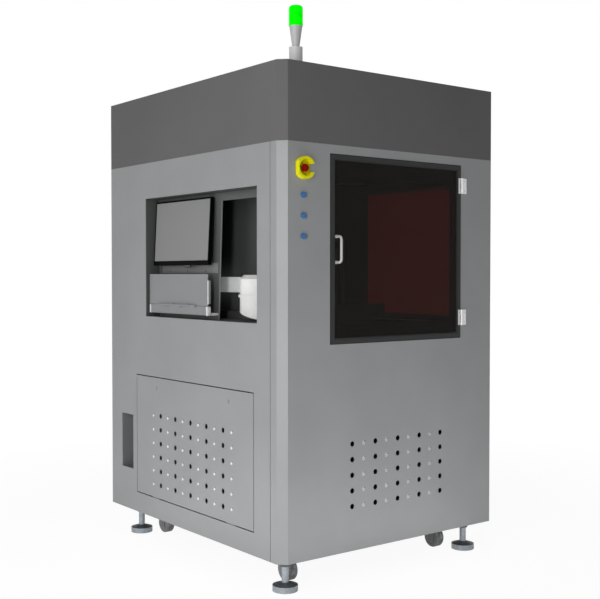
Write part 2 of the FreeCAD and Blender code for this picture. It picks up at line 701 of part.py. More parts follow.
def door_handle():
    """Round bar bent into a bow that stands on the glass."""
    x = "(door_left + door_border + handle_inset)"
    middle = "(door_bottom + door_height / 2)"
    out = "(glass_face - handle_reach)"
    pieces = []
    for sign in ("-", "+"):
        end = f"({middle} {sign} handle_length / 2)"
        inner = f"({middle} {sign} (handle_length / 2 - handle_bend))"
        pieces.append(rod("y", (x, f"{out} + handle_bend", end), "handle_radius",
                          "handle_reach - handle_bend"))
        bend = doc.addObject("Part::Torus", "bend")
        turn = Rotation(Vector(0, 1, 0), Vector(0, 0, 1), Vector(1, 0, 0), "XYZ")
        spin = Rotation(Vector(0, 0, 1), 90 if sign == "+" else 180)
        bend.Placement = FreeCAD.Placement(Vector(), turn.multiply(spin))
        place(bend, x, f"{out} + handle_bend", inner)
        bind(bend, "Radius1", "handle_bend")
        bind(bend, "Radius2", "handle_radius")
        bend.Angle3 = 90
        pieces.append(bend)
    length = "(handle_length - 2 * handle_bend)"
    pieces.append(rod("z", (x, out, f"{middle} - {length} / 2"), "handle_radius", length))
    node("door_handle", fuse(*pieces))


HINGE_LEVELS = ("(door_bottom + hinge_inset)", "(door_top - hinge_inset)")


def hinge_knuckle(level, start, end, radius):
    low = f"({level} - hinge_height / 2 + {start})"
    return rod("z", ("hinge_x", "hinge_y", low), radius, f"{end} - {start}")


def hinge_plates():
    """Fixed leaves on the front panel, each with its middle knuckle and the pin."""
    hinges = []
    for level in HINGE_LEVELS:
        low = f"{level} - hinge_height / 2"
        high = f"{level} + hinge_height / 2"
        leaf_face = "door_face - hinge_leaf"
        leaf = box(("hinge_x + knuckle_radius + knuckle_gap", leaf_face, low),
                   ("hinge_x + hinge_reach", "front", high))
        tongue = box(("hinge_x", leaf_face, f"{level} - knuckle / 2 + knuckle_gap"),
                     ("hinge_x + hinge_reach", "door_face", f"{level} + knuckle / 2 - knuckle_gap"))
        barrel = hinge_knuckle(level, "(knuckle + knuckle_gap)", "(2 * knuckle - knuckle_gap)",
                               "knuckle_radius")
        pin = hinge_knuckle(level, "0", "hinge_height", "hinge_pin_radius")
        hinges.append(fuse(leaf, tongue, barrel, pin))
    node("hinge_plates", group(hinges))


def door_hinge_leaves():
    """Moving leaves on the door frame, each with its two outer knuckles."""
    hinges = []
    for level in HINGE_LEVELS:
        low = f"{level} - hinge_height / 2"
        high = f"{level} + hinge_height / 2"
        leaf_face = "door_face - hinge_leaf"
        pieces = [box(("hinge_x - hinge_cover", leaf_face, low),
                      ("hinge_x - knuckle_radius - knuckle_gap", "door_face", high))]
        for start, end in (("0", "knuckle"), ("(2 * knuckle)", "hinge_height")):
            pieces.append(hinge_knuckle(level, start, end, "knuckle_radius"))
            pieces.append(box(("hinge_x - hinge_cover", leaf_face, f"{low} + {start}"),
                              ("hinge_x", "door_face", f"{low} + {end}")))
        bore = hinge_knuckle(level, "0", "hinge_height", "hinge_pin_radius + running_gap")
        hinges.append(cut(fuse(*pieces), bore))
    node("door_hinge_leaves", group(hinges))


# Front controls


def estop_guard():
    start = ("control_x", "front - guard_depth", "estop_z")
    ring = rod("y", start, "guard_radius", "guard_depth")
    bore = rod("y", ("control_x", "front - 2 * guard_depth", "estop_z"), "guard_radius - guard_wall",
               "3 * guard_depth")
    slot = box(("control_x", "front - 2 * guard_depth", "estop_z - guard_slot / 2"),
               ("control_x + 2 * guard_radius", "front + skin", "estop_z + guard_slot / 2"))
    flat = box(("control_x - 2 * guard_radius", "front - 2 * guard_depth", "estop_z - 2 * guard_radius"),
               ("control_x - guard_flat", "front + skin", "estop_z + 2 * guard_radius"))
    node("estop_guard", cut(ring, bore, slot, flat))


def estop_button():
    head = rod("y", ("control_x", "front - estop_reach", "estop_z"), "estop_radius", "estop_head")
    stem = rod("y", ("control_x", "front - estop_reach", "estop_z"), "estop_stem",
               "estop_reach + button_depth")
    node("estop_button", fuse(head, stem))


def push_button(name, index):
    height = f"button_z - {index} * button_pitch"
    cap = rod("y", ("control_x", "front - button_reach", height), "button_radius",
              "button_reach + button_depth")
    collar = rod("y", ("control_x", "front + button_depth - button_collar", height),
                 "button_radius + button_collar", "button_collar")
    node("push_button_" + name, fuse(cap, collar))


# Chamber, vat and lifting gear


def chamber_liner():
    """Welded tub: door jamb, bulkhead with the chamber's mouth, walls, roof and an apron round the vat."""
    jamb_low = ("door_left - door_gap - jamb", "front + skin", "door_bottom - door_gap - jamb_bottom")
    jamb_high = ("door_right + door_gap + jamb", "bulkhead", "door_top + door_gap + jamb_top")
    opening_low = ("door_left - door_gap", "front - skin", "door_bottom - door_gap")
    opening_high = ("door_right + door_gap", "bulkhead + skin", "door_top + door_gap")
    jamb_ring = frame_ring(jamb_low, jamb_high, opening_low, opening_high)
    wall = frame_ring((jamb_low[0], "bulkhead", jamb_low[2]), (jamb_high[0], "chamber_front", jamb_high[2]),
                      ("-mouth_left", "bulkhead - skin", "chamber_bottom"),
                      ("mouth_right", "chamber_front + skin", "chamber_top"))
    tub = frame_ring(("-chamber_half - skin", "chamber_front", "chamber_bottom - skin"),
                     ("chamber_half + skin", "chamber_back + skin", "chamber_top + skin"),
                     ("-chamber_half", "chamber_front - skin", "chamber_bottom"),
                     ("chamber_half", "chamber_back", "chamber_top"))
    apron = box(("-chamber_half + apron_edge", "chamber_front + apron_edge", "chamber_bottom - 2 * skin"),
                ("chamber_half - apron_edge", "chamber_back - apron_back", "chamber_bottom + skin"))
    beam_hole = rod("z", ("0", "chamber_middle", "chamber_top - skin"), "beam_hole_radius", "3 * skin")
    slots = []
    for sign in ("-", ""):
        middle = f"{sign}hanger_middle"
        reach = "(hanger_width / 2 + slot_clearance)"
        slots.append(box((f"{middle} - {reach}", "chamber_back - skin", "chamber_bottom"),
                         (f"{middle} + {reach}", "chamber_back + 2 * skin", "slot_top")))
    node("chamber_liner", cut(fuse(jamb_ring, wall, tub), apron, beam_hole, *slots))


def resin_vat():
    inner_low = ("-vat_half + vat_wall", "vat_front + vat_wall", "vat_bottom + vat_wall")
    inner_high = ("vat_half - vat_wall", "vat_back - vat_wall", "vat_rim + skin")
    node("resin_vat", frame_ring(("-vat_half", "vat_front", "vat_bottom"),
                                 ("vat_half", "vat_back", "vat_rim"), inner_low, inner_high))


def vat_stand():
    side = "stand_side"
    front = "(vat_front + stand_inset)"
    back = "(vat_back - stand_inset)"
    low = "(vat_bottom - stand_leg)"
    ring = frame_ring((f"-{side}", front, low), (side, back, "vat_bottom"),
                      (f"-{side} + stand_leg", f"{front} + stand_leg", f"{low} - skin"),
                      (f"{side} - stand_leg", f"{back} - stand_leg", "vat_bottom + skin"))
    legs = []
    for x in (f"(-{side})", f"({side} - stand_leg)"):
        for y in (front, f"({back} - stand_leg)"):
            legs.append(box((x, y, "deck"), (f"{x} + stand_leg", f"{y} + stand_leg", low)))
    node("vat_stand", fuse(ring, *legs))


def build_platform():
    """Drilled plate that the print grows on."""
    front = "(hanger_front - platform_depth)"
    low = "(platform_top - platform_thickness)"
    plate = box(("-platform_half", front, low), ("platform_half", "hanger_front", "platform_top"))
    holes = []
    for column in range(-5, 6):
        for row in range(10):
            x = f"{column} * platform_pitch"
            y = f"{front} + ({row} + 0.5) * platform_pitch"
            holes.append(rod("z", (x, y, f"{low} - skin"), "platform_hole",
                             "platform_thickness + 2 * skin"))
    node("build_platform", cut(plate, *holes))


def lifting_arms():
    """Carriage with its screw nut, two arms through the chamber's slots and two hangers."""
    carriage = box(("-carriage_half", "carriage_front", "carriage_low"),
                   ("carriage_half", "carriage_back", "carriage_high"))
    pieces = [carriage]
    for sign in ("-", ""):
        near = f"({sign}hanger_middle - hanger_width / 2)"
        far = f"({sign}hanger_middle + hanger_width / 2)"
        pieces.append(box((near, "hanger_front", "arm_low"), (far, "carriage_front", "arm_high")))
        pieces.append(box((near, "hanger_front", "platform_top - platform_thickness"),
                          (far, "hanger_back", "arm_high")))
    bore = rod("z", ("0", "screw_y", "carriage_low - skin"), "screw_radius + running_gap",
               "carriage_height + 2 * skin")
    node("lifting_arms", cut(fuse(*pieces), bore))


def lifting_column():
    """Upright plate with two rails and the screw's top bearing."""
    plate = box(("-column_half", "column_front", "deck"),
                ("column_half", "column_front + column_thickness", "column_top"))
    pieces = [plate]
    for sign in ("-", ""):
        pieces.append(box((f"{sign}rail_middle - rail_width / 2", "rail_face", "rail_low"),
                          (f"{sign}rail_middle + rail_width / 2", "column_front", "rail_high")))
    pieces.append(box(("-bearing_half", "screw_y - bearing_half", "bearing_low"),
                      ("bearing_half", "column_front", "bearing_high")))
    bore = rod("z", ("0", "screw_y", "bearing_low - skin"), "screw_radius + running_gap",
               "bearing_height + 2 * skin")
    node("lifting_column", cut(fuse(*pieces), bore))


def lifting_screw():
    start = "(motor_top + slide_gap)"
    node("lifting_screw", rod("z", ("0", "screw_y", start), "screw_radius", f"bearing_high - {start}"))


def lifting_motor():
    half = "(motor_width / 2)"
    node("lifting_motor", box((f"-{half}", f"screw_y - {half}", "motor_low"),
                              (half, "column_front", "motor_top")))


def recoater_ways():
    ways = []
    for low, high in (("-chamber_half", "-chamber_half + way_width"),
                      ("chamber_half - way_width", "chamber_half")):
        ways.append(box((low, "chamber_front", "chamber_bottom"),
                        (high, "chamber_back", "chamber_bottom + way_height")))
    node("recoater_ways", group(ways))


def recoater():
    """Bridge across the ways with the blade that levels the resin."""
    back = "(chamber_back - recoater_back)"
    front = f"({back} - recoater_depth)"
    low = "(chamber_bottom + way_height + slide_gap)"
    half = "(chamber_half - recoater_gap)"
    bridge = box((f"-{half}", front, low), (half, back, f"{low} + recoater_height"))
    middle = f"({front} + recoater_depth / 2)"
    blade = box(("-blade_half", f"{middle} - blade_thickness / 2", "platform_top + blade_gap"),
                ("blade_half", f"{middle} + blade_thickness / 2", low))
    node("recoater", fuse(bridge, blade))


# Optics in the hood


def optics_plate():
    plate = box(("left + skin", "front + corner_bevel + skin", "optics_low"),
                ("right - skin", "back - skin", "optics_top"))
    hole = rod("z", ("0", "chamber_middle", "optics_low - skin"), "beam_hole_radius + plate_hole_clear",
               "optics_thickness + 2 * skin")
    node("optics_plate", cut(plate, hole))


def laser_head():
    node("laser_head", box(("laser_left", "laser_front", "optics_top"),
                           ("laser_left + laser_length", "laser_front + laser_width",
                            "optics_top + laser_height")))


def scan_head():
    """Bridge over the beam hole that holds the two mirror motors."""
    wall = "(scan_offset + galvo_length)"
    base = box(("beam_hole_radius", "chamber_middle - scan_offset", "optics_top"),
               (f"{wall} + scan_wall", "scan_back + scan_offset", "optics_top + scan_base"))
    upright = box((wall, "chamber_middle - scan_offset", "optics_top"),
                  (f"{wall} + scan_wall", "scan_back + scan_offset", "scan_z + scan_offset + scan_base"))
    shelf = box(("-galvo_radius", "scan_back - galvo_radius", "scan_z + scan_offset"),
                (f"{wall} + scan_wall", "scan_back + scan_offset", "scan_z + scan_offset + scan_base"))
    side_motor = rod("x", ("scan_offset", "chamber_middle", "scan_z"), "galvo_radius", "galvo_length")
    top_motor = rod("z", ("0", "scan_back", "scan_z + scan_offset"), "galvo_radius", "galvo_length")
    side_bore = rod("x", ("scan_offset - skin", "chamber_middle", "scan_z"), "galvo_shaft + running_gap",
                    "galvo_socket + skin + slide_gap")
    top_bore = rod("z", ("0", "scan_back", "scan_z + scan_offset - skin"), "galvo_shaft + running_gap",
                   "galvo_socket + skin + slide_gap")
    node("scan_head", cut(fuse(base, upright, shelf, side_motor, top_motor), side_bore, top_bore))


def scan_mirrors():
    """Each mirror is a small plate at 45 degrees on the shaft of its motor."""
    shaft = "(scan_offset - scan_mirror_length / 2 + galvo_socket)"
    half = "(scan_mirror_width / 2)"
    thick = "(scan_mirror_thickness / 2)"
    for name, axis, x, y in (("side", "x", "0", "chamber_middle"), ("top", "z", "0", "scan_back")):
        plate = box((f"-{half}", f"-{thick}", "-scan_mirror_length / 2"),
                    (half, thick, "scan_mirror_length / 2"))
        pin = rod("z", ("0", "0", "scan_mirror_length / 2 - galvo_shaft"), "galvo_shaft",
                  f"{shaft} + galvo_shaft")
        mirror = fuse(plate, pin)
        slant = Rotation(Vector(0, 0, 1), 45)
        mirror.Placement = FreeCAD.Placement(Vector(), aim(axis).Rotation.multiply(slant))
        place(mirror, x, y, "scan_z")
        node("scan_mirror_" + name, mirror)


# Control cabinet, exhaust and lamp


def control_cabinet():
    node("control_cabinet", box(("control_left", "control_front", "deck"),
                                ("control_right", "control_back", "deck + control_box_height")))


def exhaust_spigot():
    flange = rod("y", ("exhaust_x", "back", "exhaust_z"), "exhaust_flange", "exhaust_flange_thickness")
    tube = rod("y", ("exhaust_x", "back", "exhaust_z"), "exhaust_radius", "exhaust_reach")
    bore = rod("y", ("exhaust_x", "back - skin", "exhaust_z"), "exhaust_radius - exhaust_wall",
               "exhaust_reach + 2 * skin")
    node("exhaust_spigot", cut(fuse(flange, tube), bore))


def lamp_base():
    profile = [("0", "0"), ("lamp_flange_radius", "0"), ("lamp_flange_radius", "lamp_flange"),
               ("lamp_base_radius", "lamp_flange"), ("lamp_base_radius", "lamp_base"),
               ("neck_low_radius", "lamp_base"), ("neck_high_radius", "neck_top"), ("0", "neck_top")]
    body = turned(profile)
    place(body, "lamp_x", "lamp_y", "top")
    node("lamp_base", body)


def lamp_lens():
    body = turned([("0", "0"), ("lens_radius", "0"), ("lens_radius", "lens_height"), ("0", "lens_height")])
    round_rims(body, is_top_rim, "lens_round")
    place(body, "lamp_x", "lamp_y", "top + neck_top")
    node("lamp_lens", body)


def is_top_rim(edge):
    """True for a circle at the top of a turned piece that stands on its origin."""
    return edge.BoundBox.ZMin > 1 and edge.BoundBox.ZLength < 1e-6


# Levelling feet and castors

FEET = {"front_left": ("foot_left", "foot_front"), "front_right": ("foot_right", "foot_front"),
        "rear_left": ("foot_left", "foot_back"), "rear_right": ("foot_right", "foot_back")}
CASTORS = {"front_left": ("castor_left", "castor_front"), "front_right": ("castor_right", "castor_front"),
           "rear_left": ("castor_left", "castor_back"), "rear_right": ("castor_right", "castor_back")}


def foot(name, x, y):
    profile = [("0", "0"), ("pad_radius", "0"), ("pad_radius", "pad_height"),
               ("pad_neck", "pad_height + pad_cone"),
               ("stem_radius", "pad_height + pad_cone"), ("stem_radius", "deck + stem_above"),
               ("0", "deck + stem_above")]
    body = turned(profile)
    place(body, x, y, "0")
    node("foot_" + name, body)


def castor_fork(name, x, y):
    """Turntable and kingpin under the base, two cheeks and the axle."""
    axle_y = f"({y} - castor_trail)"
    plate_top = "(bottom - turn_gap)"
    plate_low = f"({plate_top} - fork_top)"
    inner = "(wheel_width / 2 + fork_gap)"
    outer = f"({inner} + fork_plate)"
    kingpin = rod("z", (x, y, plate_low), "kingpin_radius", "fork_top + turn_gap + kingpin_length")
    table = box((f"{x} - {outer}", f"{axle_y} - fork_half", plate_low),
                (f"{x} + {outer}", f"{y} + fork_half", plate_top))
    pieces = [kingpin, table]
    for low, high in ((f"-{outer}", f"-{inner}"), (inner, outer)):
        pieces.append(box((f"{x} + {low}", f"{axle_y} - fork_half", "axle_z - fork_half"),
                          (f"{x} + {high}", f"{axle_y} + fork_half", plate_low)))
    pieces.append(rod("x", (f"{x} - {outer}", axle_y, "axle_z"), "axle_radius", f"2 * {outer}"))
    node("castor_fork_" + name, fuse(*pieces))


def castor_wheel(name, x, y):
    half = "(wheel_width / 2)"
    bore = "axle_radius + running_gap"
    profile = [(bore, f"-{half}"), ("wheel_radius", f"-{half}"), ("wheel_radius", half), (bore, half)]
    body = turned(profile)
    round_rims(body, is_tread_rim, "wheel_round")
    body.Placement = aim("x")
    place(body, x, f"{y} - castor_trail", "axle_z")
    node("castor_wheel_" + name, body)


def is_tread_rim(edge):
    """True for the two outer circles of a wheel."""
    return edge.BoundBox.ZLength < 1e-6 and edge.BoundBox.XLength > SIZES["wheel_radius"]


for build in (base_plate, corner_posts, front_panel, left_panel, right_panel, rear_panel, hood_shell,
              niche_liner, monitor_backing, monitor, tray_hinge_strip, keyboard_tray, resin_canister,
              canister_beam, service_panel, cable_recess, door_frame, door_glass, door_handle, hinge_plates,
              door_hinge_leaves,
              estop_guard, estop_button, chamber_liner, resin_vat, vat_stand, build_platform, lifting_arms,
              lifting_column, lifting_screw, lifting_motor, recoater_ways, recoater, optics_plate, laser_head,
              scan_head, scan_mirrors, control_cabinet, exhaust_spigot, lamp_base, lamp_lens):
    build()
for name, y in LATCHES.items():
    service_latch(name, y)
for index, name in enumerate(("top", "middle", "bottom")):
    push_button(name, index)
for name, spot in FEET.items():
    foot(name, *spot)
for name, spot in CASTORS.items():
    castor_fork(name, *spot)
    castor_wheel(name, *spot)
doc.recompute()

# Every object has to be sound before anything is written
for item in doc.Objects:
    if "Invalid" in item.State or "Error" in item.State:
        raise RuntimeError(f"{item.Name} ({item.Label}) failed to build")
for item in nodes:
    if item.Shape.isNull() or not item.Shape.isValid():
        raise RuntimeError(f"{item.Label} is not a sound shape")

os.makedirs("parts", exist_ok=True)
for item in nodes:
    item.Shape.exportStep(f"parts/{item.Label}.step")
    print(f"{item.Label:24s} {len(item.Shape.Solids):3d} solids {item.Shape.Volume / 1000:12.1f} cm3")
print(len(nodes), "sub-parts")
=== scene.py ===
# %% [markdown]
# # A floor-standing resin printer
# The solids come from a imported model, already at their real size and place. This lesson
# dresses them: it gives each one a finish, adds the small fittings that belong on them, and
# sets up the studio. Lengths are in metres unless a name ends in _mm.

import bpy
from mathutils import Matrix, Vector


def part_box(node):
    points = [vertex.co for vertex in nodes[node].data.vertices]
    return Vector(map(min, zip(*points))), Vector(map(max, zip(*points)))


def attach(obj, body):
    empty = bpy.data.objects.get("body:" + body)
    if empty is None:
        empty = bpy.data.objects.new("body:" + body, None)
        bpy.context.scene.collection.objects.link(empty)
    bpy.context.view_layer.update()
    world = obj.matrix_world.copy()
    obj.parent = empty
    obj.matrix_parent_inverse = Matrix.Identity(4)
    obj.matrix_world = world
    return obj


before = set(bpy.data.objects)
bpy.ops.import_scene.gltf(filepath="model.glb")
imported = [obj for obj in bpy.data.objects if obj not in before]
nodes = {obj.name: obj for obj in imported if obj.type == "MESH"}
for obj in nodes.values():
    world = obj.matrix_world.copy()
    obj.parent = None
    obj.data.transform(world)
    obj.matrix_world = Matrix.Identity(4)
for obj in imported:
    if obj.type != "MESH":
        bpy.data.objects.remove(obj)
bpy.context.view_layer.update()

import math

import bmesh
import bpy
from mathutils import Matrix, Vector

# %% [markdown]
# ## The camera
# The picture was taken from the front left, a little above the middle of the cabinet, with a
# lens long enough that upright edges stay nearly parallel. The heading is how far the view turns
# to the right from looking straight at the front, and the dip is how far it looks down.

# %% Camera
CAMERA_PLACE = (-2.75796, -3.60862, 1.17899)
CAMERA_HEADING = 37.618
CAMERA_DIP = 1.4425
LENS_MM = 60.56

camera_data = bpy.data.cameras.new("camera")
camera_data.lens = LENS_MM
camera_data.sensor_width = 36
camera = bpy.data.objects.new("camera", camera_data)
camera.location = CAMERA_PLACE
camera.rotation_euler = (math.radians(90 - CAMERA_DIP), 0, math.radians(-CAMERA_HEADING))
bpy.context.scene.collection.objects.link(camera)
bpy.context.scene.camera = camera
print("camera at", CAMERA_PLACE)

# %% [markdown]
# ## Colours and shader nodes
# Paint colours are easy to write as the hex values that a screen shows, but a renderer adds up
# light, so it needs them linear. One function turns one into the other. A second adds a shader
# node, sets its properties and inputs, and joins it to the nodes that feed it, so that each
# finish below reads like a list of its layers.

# %% Colour and node helpers


def linear(hex_colour):
    """Linear RGBA of a screen colour such as #a0a2a0."""
    channels = [int(hex_colour[start:start + 2], 16) / 255 for start in (1, 3, 5)]
    curve = [c / 12.92 if c <= 0.04045 else ((c + 0.055) / 1.055) ** 2.4 for c in channels]
    return (*curve, 1)


def add(tree, kind, inputs=None, stops=None, **settings):
    """Adds a node, or dresses one that is there, with properties, inputs or links, and ramp stops."""
    node = tree.nodes.new(kind) if isinstance(kind, str) else kind
    for name, value in settings.items():
        setattr(node, name, value)
    for name, value in (inputs or {}).items():
        if isinstance(value, bpy.types.NodeSocket):
            tree.links.new(value, node.inputs[name])
        else:
            node.inputs[name].default_value = value
    for index, (position, colour) in enumerate(stops or []):
        elements = node.color_ramp.elements
        element = elements[index] if index < len(elements) else elements.new(position)
        element.position = position
        element.color = linear(colour)
    return node


def begin(name):
    """A new material with its node tree and its main shader."""
    material = bpy.data.materials.new(name)
    material.use_nodes = True
    tree = material.node_tree
    return material, tree, tree.nodes["Principled BSDF"]


def per_metre(size_mm):
    """Texture scale that makes one feature about so many millimetres wide."""
    return 1000 / size_mm


def shade(hex_colour, factor):
    """The same screen colour, lighter or darker."""
    channels = [int(hex_colour[start:start + 2], 16) for start in (1, 3, 5)]
    return "#" + "".join(f"{min(255, round(c * factor)):02x}" for c in channels)


print("helpers ready: #808080 is", round(linear("#808080")[0], 3), "linear")

# %% [markdown]
# ## Powder-coated sheet steel
# The cabinet is bent sheet, sprayed with dry powder and baked. That gives a satin film with a
# fine orange peel, a slight cloudiness where the film is thicker, and softened edges that catch
# the light. Noise at two sizes makes the cloud and the peel, and a bevel node rounds the edges in
# the shading, where modelling every folded rim would cost far more. The peel of about 1 mm is too
# fine for this distance, so it is drawn at 4 mm.

# %% Powder coat
PEEL_MM = 4
CLOUD_MM = 260
RIM_RADIUS = 0.0016
PEEL_DEPTH = 0.0004
GLOSS_DRIFT = 0.05


def powder_coat(name, colour, roughness=0.42, gloss_level=0.5, cloud=0.02, peel=0.10):
    material, tree, surface = begin(name)
    where = add(tree, "ShaderNodeTexCoord").outputs["Object"]
    drift = add(tree, "ShaderNodeTexNoise", {"Vector": where, "Scale": per_metre(CLOUD_MM), "Detail": 5})
    tint = add(tree, "ShaderNodeValToRGB", {"Fac": drift.outputs["Fac"]},
               stops=[(0.32, shade(colour, 1 - cloud)), (0.68, shade(colour, 1 + cloud))])
    grain = add(tree, "ShaderNodeTexNoise", {"Vector": where, "Scale": per_metre(PEEL_MM), "Detail": 3})
    gloss = add(tree, "ShaderNodeMapRange", {"Value": grain.outputs["Fac"], "From Min": 0.3,
                                             "From Max": 0.7, "To Min": roughness - GLOSS_DRIFT,
                                             "To Max": roughness + GLOSS_DRIFT})
    rim = add(tree, "ShaderNodeBevel", {"Radius": RIM_RADIUS}, samples=4)
    skin = add(tree, "ShaderNodeBump", {"Height": grain.outputs["Fac"], "Strength": peel,
                                        "Distance": PEEL_DEPTH, "Normal": rim.outputs["Normal"]})
    add(tree, surface, {"Base Color": tint.outputs["Color"], "Roughness": gloss.outputs["Result"],
                        "Normal": skin.outputs["Normal"], "Specular IOR Level": gloss_level})
    return material


finishes = {
    "cabinet_coat": powder_coat("powder_coat_silver_grey", "#989a9b", 0.38),
    "hood_coat": powder_coat("powder_coat_graphite", "#6e6e6e", 0.55, 0.12),
    "frame_coat": powder_coat("paint_sprayed_steel_grey", "#5c5e60", 0.5),
    "niche_coat": powder_coat("powder_coat_slate", "#525453", 0.5, 0.2),
    "backing_coat": powder_coat("powder_coat_mid_grey", "#606261", 0.5, 0.2),
    # pale grey for the niche's backing rail and edge trim, painted highlights
    "pale_painted_highlight_coat": powder_coat("powder_coat_pale_grey", "#828482", 0.5, 0.3),
    "tray_coat": powder_coat("powder_coat_tray_grey", "#8c8e8f", 0.42),
    "beam_coat": powder_coat("powder_coat_white", "#f2f2f2", 0.45),
    "door_coat": powder_coat("powder_coat_charcoal", "#303231", 0.5, 0.2),
    "handle_coat": powder_coat("powder_coat_pearl", "#c8c8c8", 0.35),
    "stand_coat": powder_coat("paint_sprayed_machine_grey", "#565a5c", 0.5),
    "motor_coat": powder_coat("paint_sprayed_black", "#1c1c1c", 0.45),
    "case_coat": powder_coat("powder_coat_case_grey", "#8c8e90", 0.5),
    "castor_coat": powder_coat("paint_dipped_dark_grey", "#8a8a8a", 0.5, 0.3),
    "recess_coat": powder_coat("powder_coat_recess_grey", "#7c7e7d", 0.5, 0.2),
    "slot_coat": powder_coat("paint_brushed_dark_grey", "#565656", 0.5, 0.2),
}
print(len(finishes), "powder coats and paints")

# %% [markdown]
# ## Moulded plastic
# The monitor's case, the buttons, the guard and the canister are injection or blow moulded. A
# mould leaves a very even colour and a faint spark-eroded grain, glossier on buttons and duller
# on the case. The grain is about 0.3 mm on the real pieces and is drawn at 1.5 mm so that it shows.

# %% Moulded plastic
MOULD_GRAIN_MM = 1.5
MOULD_FLOW_MM = 60
MOULD_RIM = 0.0012
GRAIN_DEPTH = 0.0002


def moulded(name, colour, roughness, grain_strength=0.06, coat=0.0, gloss_level=0.5):
    material, tree, surface = begin(name)
    where = add(tree, "ShaderNodeTexCoord").outputs["Object"]
    grain = add(tree, "ShaderNodeTexNoise", {"Vector": where, "Scale": per_metre(MOULD_GRAIN_MM),
                                             "Detail": 2})
    flow = add(tree, "ShaderNodeTexNoise", {"Vector": where, "Scale": per_metre(MOULD_FLOW_MM),
                                            "Detail": 3})
    tint = add(tree, "ShaderNodeValToRGB", {"Fac": flow.outputs["Fac"]},
               stops=[(0.3, shade(colour, 0.97)), (0.7, shade(colour, 1.03))])
    gloss = add(tree, "ShaderNodeMapRange", {"Value": grain.outputs["Fac"], "To Min": roughness - 0.06,
                                             "To Max": roughness + 0.06})
    rim = add(tree, "ShaderNodeBevel", {"Radius": MOULD_RIM}, samples=4)
    skin = add(tree, "ShaderNodeBump", {"Height": grain.outputs["Fac"], "Strength": grain_strength,
                                        "Distance": GRAIN_DEPTH, "Normal": rim.outputs["Normal"]})
    add(tree, surface, {"Base Color": tint.outputs["Color"], "Roughness": gloss.outputs["Result"],
                        "Normal": skin.outputs["Normal"], "Coat Weight": coat,
                        "Specular IOR Level": gloss_level})
    return material


finishes.update({
    "monitor_case": moulded("abs_moulded_black", "#050505", 0.6, gloss_level=0.03),
    "canister": moulded("polyethylene_blown_white", "#ececea", 0.42, 0.03),
    "guard": moulded("abs_moulded_yellow", "#faf200", 0.4, gloss_level=0.25),
    # the plate's deeper yellow is painted shade
    "guard_floor": moulded("abs_moulded_yellow_painted_shade", "#d2ca00", 0.5, gloss_level=0.15),
    "stop_head": moulded("abs_moulded_red", "#9a0e00", 0.5, gloss_level=0.08),
    "button": moulded("acrylic_moulded_blue", "#2c6aa6", 0.3, coat=0.1),
    "knob": moulded("abs_moulded_grey", "#3a3b3b", 0.5),
    "wheel_hub": moulded("nylon_moulded_grey", "#969696", 0.5, gloss_level=0.3),
    # near-white finish for the painted highlight in the vent dimples
    "vent_painted_highlight": moulded("enamel_painted_highlight", "#f2f4f2", 0.3),
})
print(len(finishes), "finishes so far")

# %% [markdown]
# ## Metals
# Hinges and latches are satin stainless, the rails and screw are ground, the arms and plates are
# milled aluminium, and the feet are zinc plated. All show fine lines along one direction: the
# brush, the wheel or the cutter. Noise stretched along one axis gives those lines, and it moves
# the roughness more than the colour.

# %% Metals
LINE_MM = 1.2
LINE_LENGTH_MM = 60
METAL_RIM = 0.0008
LINE_DEPTH = 0.0002


def lined_metal(name, colour, roughness, along="z", strength=0.06):
    material, tree, surface = begin(name)
    where = add(tree, "ShaderNodeTexCoord").outputs["Object"]
    scale = [per_metre(LINE_LENGTH_MM) if axis == along else per_metre(LINE_MM) for axis in "xyz"]
    stretched = add(tree, "ShaderNodeMapping", {"Vector": where, "Scale": scale})
    lines = add(tree, "ShaderNodeTexNoise", {"Vector": stretched.outputs["Vector"], "Scale": 1.0,
                                             "Detail": 3})
    tint = add(tree, "ShaderNodeValToRGB", {"Fac": lines.outputs["Fac"]},
               stops=[(0.3, shade(colour, 0.93)), (0.7, shade(colour, 1.05))])
    gloss = add(tree, "ShaderNodeMapRange", {"Value": lines.outputs["Fac"], "To Min": roughness - 0.08,
                                             "To Max": roughness + 0.08})
    rim = add(tree, "ShaderNodeBevel", {"Radius": METAL_RIM}, samples=4)
    skin = add(tree, "ShaderNodeBump", {"Height": lines.outputs["Fac"], "Strength": strength,
                                        "Distance": LINE_DEPTH, "Normal": rim.outputs["Normal"]})
    add(tree, surface, {"Base Color": tint.outputs["Color"], "Roughness": gloss.outputs["Result"],
                        "Normal": skin.outputs["Normal"], "Metallic": 1.0})
    return material


finishes.update({
    "hinge_steel": lined_metal("stainless_satin", "#c4c4c4", 0.42),
    "latch_zinc": lined_metal("zinc_die_cast", "#9a9c9c", 0.5, "y"),
    "vat_steel": lined_metal("steel_black_oxide_sheet", "#3a3b3c", 0.5, "x"),
    "platform_steel": lined_metal("steel_black_oxide_plate", "#48494a", 0.45, "x"),
    "arm_metal": lined_metal("aluminium_anodised_grey", "#56585a", 0.45),
    "column_metal": lined_metal("aluminium_milled_plate", "#b4b6b8", 0.42),
    "ground_steel": lined_metal("steel_ground_rod", "#b0b2b4", 0.25),
    "recoater_metal": lined_metal("aluminium_anodised_bridge", "#48494a", 0.45, "x"),
    "optics_metal": lined_metal("aluminium_tooling_plate", "#a6a8aa", 0.4, "y"),
    "scan_metal": lined_metal("aluminium_anodised_black", "#303234", 0.4, "x"),
    "exhaust_metal": lined_metal("aluminium_rolled_sheet", "#b2b4b6", 0.36, "y"),
    "mirror": lined_metal("fused_silica_silvered", "#f0f0f2", 0.1, "x", 0.0),
})
print(len(finishes), "finishes with the metals")
